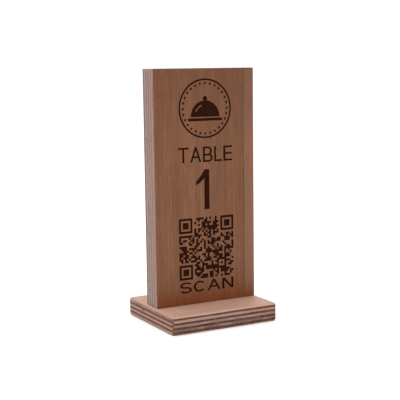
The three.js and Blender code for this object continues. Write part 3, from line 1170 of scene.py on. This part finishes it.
    def build(self) -> None:
        """Builds every sheet as a piece of its own."""
        blank = self.blank()
        for number, node in enumerate(self.nodes):
            low, high = (self.level(corner) for corner in node_box([node]))
            bm = self.sheet(blank, low, high)
            self.weather(bm, low, high, self.grain_of(number), number)
            for gap in self.gaps:
                if gap.node == node:
                    self.open_gap(bm, gap, low, high)
            bmesh.ops.recalc_face_normals(bm, faces=bm.faces[:])
            self.pieces[node] = new_object(f"{node}_wood", bm)
        blank.free()

    def drill(self, holes: bpy.types.Object, reach: float) -> None:
        """Cuts the screw holes in every sheet that they reach.

        Args:
            holes: The screws' holes as solids.
            reach: How far they go to the front and to the back of the holder's middle.
        """
        for node, piece in self.pieces.items():
            low, high = (corner[Axis.Y.value] for corner in node_box([node]))
            if low < reach and high > -reach:
                combine(piece, holes, "DIFFERENCE")

    def dress(self, faces: tuple[Timber, Timber], cores: tuple[Timber, Timber]) -> None:
        """Gives every sheet its finish, and puts it in its node's place.

        Args:
            faces: The finishes of the first and the last face sheet.
            cores: The finishes of core sheets that run with the faces, and across them.
        """
        face_materials = [timber.build() for timber in faces]
        core_materials = [timber.build() for timber in cores]
        last = len(self.nodes) - 1
        for number, (node, piece) in enumerate(self.pieces.items()):
            outer = number in (0, last)
            kind = int(number == last) if outer else number % 2
            piece.data.materials.append((face_materials if outer else core_materials)[kind])
            settle(piece, node)


@dataclass
class Upright(Panel):
    """The upright panel, whose bottom edge stands on the base."""

    def rests(self, position: Vector) -> bool:
        """Whether a point is on the bottom edge."""
        return position.z < self.low.z + self.corner / 2


# ---------------------------------------------------------------- engraving


class Cutter:
    """Flat shapes on the front face, made into one solid that cuts the engraving."""

    def __init__(self, face: float, depth: float, overrun: float) -> None:
        """Starts an empty cutter.

        Args:
            face: Where the front face is.
            depth: How deep the engraving is.
            overrun: How far the cutter stands out of the face.
        """
        self.bm = bmesh.new()
        self.floor = face + depth
        self.height = depth + overrun

    def stand_out(self, faces: Sequence[bmesh.types.BMFace]) -> None:
        """Makes flat faces at the floor into a solid that stands out of the face.

        Args:
            faces: The faces, which lie flat at the floor.
        """
        grown = bmesh.ops.extrude_face_region(self.bm, geom=list(faces))["geom"]
        verts = [item for item in grown if isinstance(item, bmesh.types.BMVert)]
        bmesh.ops.translate(self.bm, verts=verts, vec=(0, -self.height, 0))

    def plate(self, *corners: tuple[float, float]) -> None:
        """Adds a plate with straight sides between corners given as x and z."""
        verts = [self.bm.verts.new((x, self.floor, z)) for x, z in corners]
        self.stand_out([self.bm.faces.new(verts)])

    def bar(self, x0: float, z0: float, x1: float, z1: float) -> None:
        """Adds a rectangle between two opposite corners."""
        self.plate((x0, z0), (x1, z0), (x1, z1), (x0, z1))

    def disc(self, x: float, z: float, radius: float, steps: int = 24) -> None:
        """Adds a round plate.

        Args:
            x: Its middle.
            z: Its middle.
            radius: Its radius.
            steps: Its sides.
        """
        place = Matrix.Translation((x, self.floor, z)) @ Matrix.Rotation(math.pi / 2, 4, "X")
        made = bmesh.ops.create_circle(
            self.bm, cap_ends=True, segments=steps, radius=radius, matrix=place,
        )
        self.stand_out(list({face for vert in made["verts"] for face in vert.link_faces}))

    def band(
        self, x: float, z: float, outer: tuple[float, float], inner: tuple[float, float],
        begin: float = 0.0, end: float = 360.0, steps: int = 24,
    ) -> None:
        """Adds a band along an oval or part of one.

        Args:
            x: The oval's middle.
            z: The oval's middle.
            outer: The outer half width and half height.
            inner: The inner half width and half height.
            begin: Where it begins, in degrees anticlockwise from the right.
            end: Where it ends.
            steps: How many straight steps it has.
        """
        line = bmesh.new()
        start = math.radians(begin)
        ends = [line.verts.new((math.cos(start) * at, 0, math.sin(start) * at)) for at in (1.0, 2.0)]
        edge = line.edges.new(ends)
        bmesh.ops.spin(
            line, geom=[*ends, edge], cent=(0, 0, 0), axis=(0, -1, 0), steps=steps,
            angle=math.radians(end - begin), use_merge=end - begin >= 360, use_duplicate=False,
        )
        for vert in line.verts:
            share = math.hypot(vert.co.x, vert.co.z) - 1.0
            turn = math.atan2(vert.co.z, vert.co.x)
            half_width = inner[0] + share * (outer[0] - inner[0])
            half_height = inner[1] + share * (outer[1] - inner[1])
            vert.co = (x + half_width * math.cos(turn), self.floor, z + half_height * math.sin(turn))
        mesh = bpy.data.meshes.new("band")
        line.to_mesh(mesh)
        line.free()
        count = len(self.bm.faces)
        self.bm.from_mesh(mesh)
        bpy.data.meshes.remove(mesh)
        self.stand_out(self.bm.faces[count:])

    def finish(self, name: str) -> bpy.types.Object:
        """The cutter as an object, with its faces pointing out."""
        bmesh.ops.recalc_face_normals(self.bm, faces=self.bm.faces[:])
        return new_object(name, self.bm)


@dataclass(frozen=True)
class Letter:
    """One plain block capital in its place on the face."""

    cutter: Cutter
    left: float
    foot: float
    width: float
    height: float
    stem: float  # thickness of upright strokes
    flat: float  # thickness of level strokes
    crossbar: float = 0.28  # share of the height under an A's crossbar
    waist: float = 0.53  # share of the height under the top of a B's lower bowl
    upper_bowl: float = 0.94  # a B's upper bowl, as a share of the width
    middle_stroke: float = 0.92  # an E's middle stroke, as a share of the width

    @property
    def right(self) -> float:
        """Its right side."""
        return self.left + self.width

    @property
    def top(self) -> float:
        """Its top."""
        return self.foot + self.height

    def post(self, left: float) -> None:
        """Adds an upright stroke of the full height from its left side."""
        self.cutter.bar(left, self.foot, left + self.stem, self.top)

    def rail(self, low: float, right: float) -> None:
        """Adds a level stroke from the letter's left side."""
        self.cutter.bar(self.left, low, right, low + self.flat)

    def arc(
        self, x: float, z: float, outer: tuple[float, float], begin: float, end: float, steps: int = 24,
    ) -> None:
        """Adds a stroke round part of an oval, as the cutter's band does."""
        inner = (outer[0] - self.stem, outer[1] - self.flat)
        self.cutter.band(x, z, outer, inner, begin, end, steps)

    def bowl(self, low: float, high: float, width: float) -> None:
        """Adds two level strokes joined by a half ring.

        Args:
            low: The lower stroke's underside.
            high: The upper stroke's top.
            width: From the letter's left side to the bowl's right.
        """
        radius = (high - low) / 2
        turn = self.left + width - radius
        self.rail(low, turn)
        self.rail(high - self.flat, turn)
        self.arc(turn, (low + high) / 2, (radius, radius), -90, 90, steps=12)

    def draw_a(self) -> None:
        """Two leaning legs and a crossbar."""
        lean = (self.width - self.stem) / 2
        peak = ((self.left + lean + self.stem, self.top), (self.left + lean, self.top))
        for leg in (self.left, self.right - self.stem):
            self.cutter.plate((leg, self.foot), (leg + self.stem, self.foot), *peak)
        low = self.foot + self.crossbar * self.height
        inset = lean * (low + self.flat - self.foot) / self.height + self.stem / 2
        self.cutter.bar(self.left + inset, low, self.right - inset, low + self.flat)

    def draw_b(self) -> None:
        """A stem and two bowls, the upper one narrower."""
        waist = self.foot + self.waist * self.height
        self.post(self.left)
        self.bowl(self.foot, waist, self.width)
        self.bowl(waist - self.flat, self.top, self.upper_bowl * self.width)

    def draw_c(self) -> None:
        """An open oval."""
        outer = (self.width / 2, self.height / 2)
        self.arc(self.left + outer[0], self.foot + outer[1], outer, 40, 320)

    def draw_e(self) -> None:
        """A stem and three level strokes."""
        self.post(self.left)
        self.rail(self.foot, self.right)
        middle = (self.foot + self.top - self.flat) / 2
        self.rail(middle, self.left + self.middle_stroke * self.width)
        self.rail(self.top - self.flat, self.right)

    def draw_l(self) -> None:
        """A stem and a foot."""
        self.post(self.left)
        self.rail(self.foot, self.right)

    def draw_n(self) -> None:
        """Two stems and a slanting stroke."""
        slant = 1.15 * self.stem
        self.post(self.left)
        self.post(self.right - self.stem)
        low_end = ((self.right - slant, self.foot), (self.right, self.foot))
        self.cutter.plate(*low_end, (self.left + slant, self.top), (self.left, self.top))

    def draw_s(self) -> None:
        """Two open ovals, turned opposite ways and joined at the waist."""
        outer = (self.width / 2, (self.height + self.flat) / 4)
        middle = self.left + outer[0]
        self.arc(middle, self.top - outer[1], outer, 20, 270)
        self.arc(middle, self.foot + outer[1], outer, -160, 90)

    def draw_t(self) -> None:
        """A top stroke and a stem."""
        self.rail(self.top - self.flat, self.right)
        self.post(self.left + (self.width - self.stem) / 2)


# Each capital's share of a word's width, and its strokes.
CAPITALS: dict[str, tuple[float, Callable[[Letter], None]]] = {
    "A": (1.15, Letter.draw_a),
    "B": (1.0, Letter.draw_b),
    "C": (1.05, Letter.draw_c),
    "E": (0.95, Letter.draw_e),
    "L": (0.8, Letter.draw_l),
    "N": (1.0, Letter.draw_n),
    "S": (1.0, Letter.draw_s),
    "T": (1.05, Letter.draw_t),
}


@dataclass(frozen=True)
class Lettering:
    """A word in plain block capitals, centred on the face."""

    text: str
    height: float
    width: float
    stem: float
    flat: float
    spacing: float

    def cut(self, cutter: Cutter, foot: float) -> None:
        """Adds the word's letters.

        Args:
            cutter: Where they are added.
            foot: The height that they stand on.
        """
        shares = [CAPITALS[letter][0] for letter in self.text]
        unit = (self.width - self.spacing * (len(self.text) - 1)) / sum(shares)
        left = -self.width / 2
        for letter, share in zip(self.text, shares):
            strokes = Letter(cutter, left, foot, unit * share, self.height, self.stem, self.flat)
            CAPITALS[letter][1](strokes)
            left += unit * share + self.spacing


@dataclass(frozen=True)
class Emblem:
    """A ring, a circle of beads, and a serving cover on its plate."""

    height: float = 47.5
    ring: float = 1.4
    bead_count: int = 28
    bead: float = 1.9
    bead_inset: float = 3.7
    cover_width: float = 26.0
    cover_height: float = 13.0
    knob: float = 4.0
    knob_sink: float = 0.4
    cover_gap: float = 1.0
    plate_width: float = 31.0
    plate_height: float = 2.2
    glint_inset: float = 3.0
    glint_width: float = 1.0
    glint_from: float = 108.0  # degrees anticlockwise from the right
    glint_to: float = 153.0
    lap: float = 0.05  # the cover's bands overlap by this much
    hub: float = 0.05  # half size of the speck that the innermost band leaves
    facet: float = 4.5  # degrees to one straight step of the dome

    def cut(self, cutter: Cutter, foot: float) -> None:
        """Adds the emblem.

        Args:
            cutter: Where it is added.
            foot: The height that it stands on.
        """
        radius = self.height / 2
        centre = foot + radius
        inner = radius - self.ring
        cutter.band(0, centre, (radius, radius), (inner, inner), steps=96)
        for index in range(self.bead_count):
            turn = 2 * math.pi * index / self.bead_count
            away = radius - self.bead_inset
            cutter.disc(away * math.cos(turn), centre + away * math.sin(turn), self.bead / 2, 16)
        tall = self.plate_height + self.cover_gap + self.cover_height + self.knob - self.knob_sink
        plate_top = centre - tall / 2 + self.plate_height
        self.cut_cover(cutter, plate_top + self.cover_gap)
        half = self.plate_width / 2
        cutter.bar(-half, plate_top - self.plate_height, half, plate_top)

    def inside(self, inset: float) -> tuple[float, float]:
        """The half width and the height of the cover's dome, less an inset."""
        return self.cover_width / 2 - inset, self.cover_height - inset

    def cut_cover(self, cutter: Cutter, foot: float) -> None:
        """Adds the cover's dome, with an unburnt glint on its left, and its knob.

        Args:
            cutter: Where it is added.
            foot: The height of the dome's rim.
        """
        glint_end = self.glint_inset + self.glint_width
        beside = (self.inside(self.glint_inset - self.lap), self.inside(glint_end + self.lap))
        for outer, inner, begin, end in (
            (self.inside(0.0), self.inside(self.glint_inset), 0, 180),
            (*beside, 0, self.glint_from),
            (*beside, self.glint_to, 180),
            (self.inside(glint_end), (self.hub, self.hub), 0, 180),
        ):
            cutter.band(0, foot, outer, inner, begin, end, round((end - begin) / self.facet))
        knob = self.knob / 2
        cutter.disc(0, foot + self.cover_height - self.knob_sink + knob, knob)


@dataclass(frozen=True)
class Numeral:
    """The table's number, a 1 whose flag hangs from the top of its stem."""

    height: float = 32.4
    stem: float = 4.6
    offset: float = 0.75  # from the middle of the face to the middle of the stem
    crest: float = 0.4  # the flag's upper edge starts this far inside the stem
    reach: float = 7.5  # from the stem to the flag's tip
    drop: float = 9.7  # from the top to the flag's tip
    band: float = 2.8  # the flag's thickness at its tip
    root: float = 7.2  # from the top to the flag's lower edge at the stem
    sag: float = 1.0  # hollow of the flag's upper and lower edges
    steps: int = 8

    def cut(self, cutter: Cutter, foot: float) -> None:
        """Adds the numeral.

        Args:
            cutter: Where it is added.
            foot: The height that it stands on.
        """
        left = self.offset - self.stem / 2
        top = foot + self.height
        cutter.bar(left, foot, left + self.stem, top)
        for step in range(self.steps):
            near, far = step / self.steps, (step + 1) / self.steps
            cutter.plate(*self.rung(left, top, near), *reversed(self.rung(left, top, far)))

    def rung(self, left: float, top: float, share: float) -> list[tuple[float, float]]:
        """The flag's upper and lower edge at a share of its way to the tip.

        Args:
            left: The stem's left side.
            top: The stem's top.
            share: The share, from 0 to 1.

        Returns:
            A point on each edge.
        """
        hollow = 2 * self.sag * share * (1 - share)
        upper = (left + self.crest * (1 - share) - self.reach * share, top - self.drop * share - hollow)
        fall = self.root + (self.drop + self.band - self.root) * share
        lower = (left - self.reach * share, top - fall - hollow)
        return [upper, lower]


@dataclass(frozen=True)
class Code:
    """A square of cells that looks like a scanning code and stands for no message."""

    height: float = 50.0
    cells: int = 29
    spread: float = 0.06  # each burnt cell is this much larger on every side
    finder: int = 7
    marker: int = 5
    marker_inset: int = 4

    def target(self, row: int, column: int, cells: int) -> bool:
        """Whether a cell of a square target is burnt: a ring round a solid core."""
        return min(row, column, cells - 1 - row, cells - 1 - column) != 1

    def burnt(self, row: int, column: int) -> bool:
        """Whether a cell is burnt: targets, dotted lines, and a sum that scatters the rest.

        Args:
            row: The cell's row, from the top.
            column: Its column, from the left.

        Returns:
            Whether it is.
        """
        far = self.cells - self.finder
        for top, left in ((0, 0), (0, far), (far, 0)):
            in_row, in_column = row - top, column - left
            if 0 <= in_row < self.finder and 0 <= in_column < self.finder:
                return self.target(in_row, in_column, self.finder)
            if -1 <= in_row <= self.finder and -1 <= in_column <= self.finder:
                return False
        marker_at = self.cells - self.marker_inset - self.marker
        if 0 <= row - marker_at < self.marker and 0 <= column - marker_at < self.marker:
            return self.target(row - marker_at, column - marker_at, self.marker)
        if self.finder - 1 in (row, column):
            return (row + column) % 2 == 0
        # The sum has no meaning: its factors are primes, so that neighbours differ.
        mixed = (row * 167 + column * 311 + row * column * 29 + 53) % 1009
        return (mixed * mixed + 7 * mixed) % 1013 < 506

    def cut(self, cutter: Cutter, foot: float) -> None:
        """Adds every unbroken run of burnt cells in a row as one bar.

        Args:
            cutter: Where they are added.
            foot: The height that the lowest row stands on.
        """
        cell = self.height / self.cells
        left = -self.height / 2
        for row in range(self.cells):
            top = foot + self.height - row * cell + self.spread
            start = None
            for column in range(self.cells + 1):
                burnt = column < self.cells and self.burnt(row, column)
                if burnt and start is None:
                    start = column
                if not burnt and start is not None:
                    right = left + column * cell + self.spread
                    cutter.bar(left + start * cell - self.spread, top - cell - 2 * self.spread, right, top)
                    start = None


@dataclass
class Engraving:
    """The engraved items, stacked down the front sheet."""

    depth: float = 0.4
    overrun: float = 1.0
    items: tuple[Emblem | Lettering | Numeral | Code, ...] = (
        Emblem(),
        Lettering("TABLE", height=12.3, width=49.5, stem=1.75, flat=1.5, spacing=1.5),
        Numeral(),
        Code(),
        Lettering("SCAN", height=9.1, width=49.6, stem=2.1, flat=1.3, spacing=1.5),
    )
    gap_shares: tuple[float, ...] = (8.1, 6.8, 5.9, 6.4, 1.8, 9.7)  # of the height the items leave

    def cut(self, upright: Upright, scorched: ScorchedWood) -> None:
        """Cuts the engraving in the upright's front sheet.

        Args:
            upright: The built upright.
            scorched: The finish of the pockets.
        """
        cutter = Cutter(upright.low.y, self.depth, self.overrun)
        spare = upright.high.z - upright.low.z - sum(item.height for item in self.items)
        foot = upright.high.z
        for item, share in zip(self.items, self.gap_shares):
            foot -= share / sum(self.gap_shares) * spare + item.height
            item.cut(cutter, foot)
        tool = cutter.finish("engraving_cutter")
        tool.data.materials.append(scorched.build())
        combine(upright.pieces[upright.nodes[0]], tool, "DIFFERENCE", crossing=True, keep_tint=True)
        discard(tool)


# ---------------------------------------------------------------- screws


@dataclass
class Screw:
    """A countersunk wood screw that stands head down."""

    node: str
    size: float = 3.5  # over the thread
    rim: float = 0.4  # straight rim of the head
    chamfer: float = 0.1  # of the head's edge
    shank: float = 2.7  # diameter of the plain shank
    core: float = 2.3  # diameter under the thread
    plain: float = 14.0  # from the head's face to the thread
    pitch: float = 1.7
    point: float = 5.0
    root: float = 0.3  # how deep the thread's rib is sunk in the core
    crest: float = 0.25  # width of the thread's crest
    recess_width: float = 0.9
    recess_span: float = 3.6
    recess_depth: float = 1.7
    recess_taper: float = 0.45  # the recess's width at its floor, as a share of its mouth's
    turn: float = 0.0  # of the recess, in degrees
    sides: int = 24

    def __post_init__(self) -> None:
        """Reads the screw's sizes from its node."""
        self.low, self.high = node_box([self.node])
        self.x = (self.low.x + self.high.x) / 2
        self.y = (self.low.y + self.high.y) / 2
        self.head = (self.high.x - self.low.x) / 2

    def blank(self) -> bpy.types.Object:
        """The head, the shank and the core as one turned shape.

        Returns:
            The shape.
        """
        bm = bmesh.new()
        neck = self.low.z + self.rim + self.head - self.shank / 2
        profile = [
            (0.0, self.low.z),
            (self.head - self.chamfer, self.low.z),
            (self.head, self.low.z + self.chamfer),
            (self.head, self.low.z + self.rim),
            (self.shank / 2, neck),
            (self.shank / 2, self.low.z + self.plain - 0.4),
            (self.core / 2, self.low.z + self.plain),
            (self.core / 2, self.high.z - self.point),
            (self.core / 4, self.high.z - 0.35 * self.point),
            (0.0, self.high.z),
        ]
        lathe(bm, profile, self.x, self.y, self.sides)
        return new_object(f"{self.node}_turned", bm)

    def thread(self) -> bpy.types.Object:
        """The thread as a closed rib that winds up the core and runs out at both ends.

        Returns:
            The rib.
        """
        bm = bmesh.new()
        outer, base = self.size / 2, self.core / 2 - self.root
        start = self.low.z + self.plain + 0.5
        turns = (self.high.z - 0.25 * self.point - start) / self.pitch
        half = self.pitch * 0.3
        rib = [(base, -half), (base, half), (outer, self.crest / 2), (outer, -self.crest / 2)]
        verts = [bm.verts.new((self.x + radius, self.y, start + height)) for radius, height in rib]
        lines = [bm.edges.new(pair) for pair in zip(verts, verts[1:] + verts[:1])]
        steps = round(turns * self.sides)
        bmesh.ops.spin(
            bm, geom=[*verts, *lines], cent=(self.x, self.y, 0), axis=(0, 0, 1),
            dvec=(0, 0, self.pitch / self.sides), angle=2 * math.pi * steps / self.sides,
            steps=steps, use_duplicate=False,
        )
        ends = [edge for edge in bm.edges if edge.is_boundary]
        bmesh.ops.holes_fill(bm, edges=ends, sides=4)
        for vert in bm.verts:
            run_in = min((vert.co.z - start + half) / self.pitch, 1.0)
            run_out = min((self.high.z - vert.co.z) / self.point, 1.0)
            away = Vector((vert.co.x - self.x, vert.co.y - self.y, 0))
            grown = base + (away.length - base) * max(run_in, 0.1)
            away = away.normalized() * grown * max(run_out, 0.12)
            vert.co.x, vert.co.y = self.x + away.x, self.y + away.y
        bmesh.ops.recalc_face_normals(bm, faces=bm.faces[:])
        return new_object(f"{self.node}_thread", bm)

    def recess(self) -> bpy.types.Object:
        """The driver's cross as two crossing wedges.

        Returns:
            The wedges, which cut the head.
        """
        bm = bmesh.new()
        height = self.recess_depth + 1.0
        centre = Vector((self.x, self.y, self.low.z - 1.0 + height / 2))
        for quarter in (0, 90):
            turn = Matrix.Rotation(math.radians(quarter + self.turn), 4, "Z")
            size = Matrix.Diagonal((self.recess_span, self.recess_width, height, 1.0))
            made = bmesh.ops.create_cube(bm, size=1.0, matrix=Matrix.Translation(centre) @ turn @ size)
            for vert in made["verts"]:
                if vert.co.z > centre.z:
                    vert.co.x = self.x + (vert.co.x - self.x) * self.recess_taper
                    vert.co.y = self.y + (vert.co.y - self.y) * self.recess_taper
        return new_object(f"{self.node}_recess", bm)

    def build(self, steel: bpy.types.Material) -> None:
        """Builds the screw and puts it in its node's place.

        Args:
            steel: Its finish.
        """
        piece = self.blank()
        for tool, operation in ((self.thread(), "UNION"), (self.recess(), "DIFFERENCE")):
            combine(piece, tool, operation, crossing=True)
            discard(tool)
        piece.name = f"{self.node}_steel"
        piece.data.materials.append(steel)
        settle(piece, self.node)


def screw_holes(screws: Sequence[Screw], clearance: float) -> bpy.types.Object:
    """The holes that the screws sit in.

    Args:
        screws: The screws.
        clearance: The room round each one.

    Returns:
        The holes as one object of separate solids.
    """
    bm = bmesh.new()
    overrun = 3.0  # how far the cutter stands out of the base
    for screw in screws:
        head = screw.head + clearance
        thread = screw.size / 2 + clearance
        rim = screw.low.z + screw.rim + clearance
        tip = screw.high.z + clearance
        profile = [
            (0.0, screw.low.z - overrun), (head, screw.low.z - overrun), (head, rim),
            (thread, rim + head - thread), (thread, tip - screw.point), (0.0, tip),
        ]
        lathe(bm, profile, screw.x, screw.y, 32)
    return new_object("screw_holes", bm)


# ---------------------------------------------------------------- studio


@dataclass(frozen=True)
class Lamp:
    """A soft area lamp that is aimed at the holder."""

    name: str
    place: tuple[float, float, float]
    aim: tuple[float, float, float]
    size: float
    power: float
    tint: Tint = Tint(255, 255, 255)

    def build(self) -> None:
        """Adds the lamp, in metres and watts."""
        light = bpy.data.lights.new(self.name, "AREA")
        light.shape = "SQUARE"
        light.size = self.size
        light.energy = self.power
        light.color = self.tint.linear[:3]
        lamp = bpy.data.objects.new(self.name, light)
        lamp.location = self.place
        toward = Vector(self.aim) - Vector(self.place)
        lamp.rotation_euler = toward.to_track_quat("-Z", "Y").to_euler()
        bpy.context.scene.collection.objects.link(lamp)


@dataclass(frozen=True)
class Studio:
    """A white room with a soft lamp, and the camera a little to the holder's left."""

    aim: tuple[float, float, float] = (-0.0051, -0.0090, 0.0997)
    distance: float = 0.789
    turn: float = 28.28  # degrees that the camera stands to the left
    tilt: float = 7.67  # degrees that it looks down
    roll: float = -0.756
    lens: float = 88.15
    white: float = 1.1
    floor_size: float = 12.0
    floor_gap: float = 0.02  # millimetres under the holder, so that the two faces don't coincide
    lamps: tuple[Lamp, ...] = (
        Lamp("key_lamp", (-1.4, 0.0, 1.2), (0, 0, 0.1), 1.0, 8.0),
    )

    def build(self) -> None:
        """Adds the floor, the light and the camera."""
        scene = bpy.context.scene
        scene.view_settings.view_transform = "Standard"
        world = bpy.data.worlds.new("white_room")
        world.use_nodes = True
        world.node_tree.nodes["Background"].inputs["Color"].default_value = (1, 1, 1, 1)
        world.node_tree.nodes["Background"].inputs["Strength"].default_value = self.white
        scene.world = world
        for lamp in self.lamps:
            lamp.build()
        bm = bmesh.new()
        below = Matrix.Translation((0, 0, -self.floor_gap))
        half = self.floor_size * PER_METRE / 2
        bmesh.ops.create_grid(bm, x_segments=1, y_segments=1, size=half, matrix=below)
        floor = new_object("studio_floor", bm)
        paper = StudioPaper("studio_paper", Tint(250, 250, 250), Tint(246, 246, 246))
        floor.data.materials.append(paper.build())
        floor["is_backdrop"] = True
        self.build_camera()

    def build_camera(self) -> None:
        """Adds the camera and sets it on the scene."""
        camera = bpy.data.objects.new("camera", bpy.data.cameras.new("camera"))
        camera.data.lens = self.lens
        turn, tilt, roll = (math.radians(angle) for angle in (self.turn, self.tilt, self.roll))
        forward = Vector((
            math.sin(turn) * math.cos(tilt), math.cos(turn) * math.cos(tilt), -math.sin(tilt),
        ))
        right = Vector((math.cos(turn), -math.sin(turn), 0.0))
        up = right.cross(forward)
        rolled_right = math.cos(roll) * right + math.sin(roll) * up
        rolled_up = math.cos(roll) * up - math.sin(roll) * right
        axes = Matrix((rolled_right, rolled_up, -forward)).transposed().to_4x4()
        camera.matrix_world = Matrix.Translation(Vector(self.aim) - forward * self.distance) @ axes
        bpy.context.scene.collection.objects.link(camera)
        bpy.context.scene.camera = camera


# ---------------------------------------------------------------- the holder

FACE_PALE, FACE_DEEP = Tint(128, 86, 57), Tint(92, 55, 33)
EDGE_PALE, EDGE_DEEP = Tint(168, 134, 121), Tint(138, 105, 92)
END_PALE, END_DEEP = Tint(86, 53, 42), Tint(56, 31, 23)  # across the front's end grain: dark end grain, made darker than the sides' by painted shade
SIDE_END_PALE, SIDE_END_DEEP = Tint(110, 77, 63), Tint(76, 49, 39)  # the left and right sides' end grain, lighter than the front's
PLY_PALE, PLY_DEEP = Tint(149, 125, 117), Tint(125, 102, 94)
PLY_END_PALE, PLY_END_DEEP = Tint(134, 110, 102), Tint(107, 86, 79)
PLY_TAN = Tint(142, 106, 82)
# The veneer tints of the top of the base, made paler by painted sheen.
TOP_PALE_WITH_SHEEN, TOP_DEEP_WITH_SHEEN = Tint(213, 175, 154), Tint(166, 124, 99)


def base_panel() -> Panel:
    """The base, from the table up.

    Returns:
        The panel, which isn't built yet.
    """
    cores = [f"base_core_ply_{number}" for number in range(1, 8)]
    return Panel(
        nodes=["base_bottom_veneer", *cores, "base_top_veneer"],
        stack=Axis.Z,
        face_grain=Axis.X,
        cross_grain=Axis.Y,
        corner=3.0,
        arris=2.0,
        face_slots=("base_long_grain", "base_top_veneer"),
        core_slots=("base_long_grain", "base_end_grain"),
        gaps=[
            Gap("base_core_ply_3", Axis.Y, False, start=20, length=17, height=0.8),
            Gap("base_core_ply_5", Axis.X, False, start=51, length=7, height=0.5),
            Gap("base_core_ply_3", Axis.Y, True, start=58, length=11, height=0.6),
            Gap("base_core_ply_2", Axis.X, True, start=24, length=9, height=0.5),
        ],
        # The front entries of the lower sheets are painted shade, darker towards the floor.
        stains_and_shade={
            ("base_core_ply_7", Axis.X): 0.8,
            ("base_core_ply_7", Axis.Y): 0.5,
            ("base_core_ply_6", Axis.X): 0.3,
            ("base_core_ply_4", Axis.Y): 0.5,
            ("base_core_ply_2", Axis.Y): 0.9,
            ("base_bottom_veneer", Axis.Y): 1.0,
            ("base_bottom_veneer", Axis.X): 0.4,
        },
    )


def upright_panel() -> Upright:
    """The upright, from its engraved face back.

    Returns:
        The panel, which isn't built yet.
    """
    cores = [f"upright_core_ply_{number}" for number in range(1, 10)]
    return Upright(
        nodes=["upright_front_veneer", *cores, "upright_back_veneer"],
        stack=Axis.Y,
        face_grain=Axis.Z,
        cross_grain=Axis.X,
        corner=0.5,
        arris=0.4,
        face_slots=("engraved_veneer", "back_veneer"),
        core_slots=("upright_long_grain", "upright_end_grain"),
        gaps=[
            Gap("upright_core_ply_7", Axis.X, False, start=175, length=13, height=0.35, depth=1.5),
            Gap("upright_core_ply_4", Axis.Z, True, start=58, length=8, height=0.5),
            Gap("upright_core_ply_7", Axis.X, True, start=120, length=12, height=0.5),
        ],
        stains_and_shade={
            ("upright_core_ply_1", Axis.X): 1.0,
            ("upright_core_ply_2", Axis.X): 0.7,
            ("upright_core_ply_3", Axis.X): 0.3,
        },
        corner_steps=3,
        arris_steps=3,
        squeeze=0.15,
    )


def main() -> None:
    """Builds the holder and its studio."""
    logging.basicConfig(level=logging.INFO, format="%(message)s")
    base = base_panel()
    upright = upright_panel()
    screws = [Screw("screw_left", turn=25.0), Screw("screw_right", turn=62.0)]
    base.build()
    upright.build()
    holes = screw_holes(screws, clearance=0.3)
    base.drill(holes, reach=4.0)
    upright.drill(holes, reach=2.0)
    discard(holes)

    plies, ply_ends = (PLY_PALE, PLY_DEEP), (PLY_END_PALE, PLY_END_DEEP)
    # The arris share lays painted shade along the face sheets' sanded arris.
    face_look = {"lacquer": 0.08, "shine": 0.2, "blush": 0.2, "arris": 0.45}
    ply_look = {"glue": 0.38, "blush": 0.1, "stain_and_shade": PLY_TAN}
    upright.dress(
        faces=(
            SplicedTimber("engraved face", Axis.Z, FACE_PALE, FACE_DEEP, *ply_ends, **face_look),
            Timber("plain back", Axis.Z, FACE_PALE, FACE_DEEP, *ply_ends, **face_look),
        ),
        cores=(
            Timber("upright ply along", Axis.Z, *plies, *ply_ends, **ply_look),
            Timber("upright ply across", Axis.X, *plies, *ply_ends, **ply_look),
        ),
    )
    Engraving().cut(upright, ScorchedWood("scorched wood", Tint(36, 12, 4), Tint(58, 24, 9)))
    # The top of the base carries painted sheen in its tints, and its arris tint paints shade on the sanded
    # arris.
    top_look = {"lacquer": 0.2, "blush": 0.12, "arris": 0.5, "arris_shade_tint": Tint(176, 140, 124)}
    base.dress(
        faces=(
            Timber("base underside", Axis.X, EDGE_PALE, EDGE_DEEP, SIDE_END_PALE, SIDE_END_DEEP),
            Timber("base top with painted sheen", Axis.X, TOP_PALE_WITH_SHEEN, TOP_DEEP_WITH_SHEEN, EDGE_PALE, EDGE_DEEP, **top_look),
        ),
        cores=(
            Timber("base ply along", Axis.X, EDGE_PALE, EDGE_DEEP, SIDE_END_PALE, SIDE_END_DEEP),
            Timber("base ply across", Axis.Y, EDGE_PALE, EDGE_DEEP, END_PALE, END_DEEP),
        ),
    )
    steel = PlatedSteel("zinc plate", Tint(205, 202, 190), Tint(168, 166, 158)).build()
    for screw in screws:
        screw.build(steel)
    Studio().build()

    boxes = {"cad": cad_box, "visual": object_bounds()}
    {name: [list(corner) for corner in box] for name, box in boxes.items()}


if __name__ == "__main__":
    main()
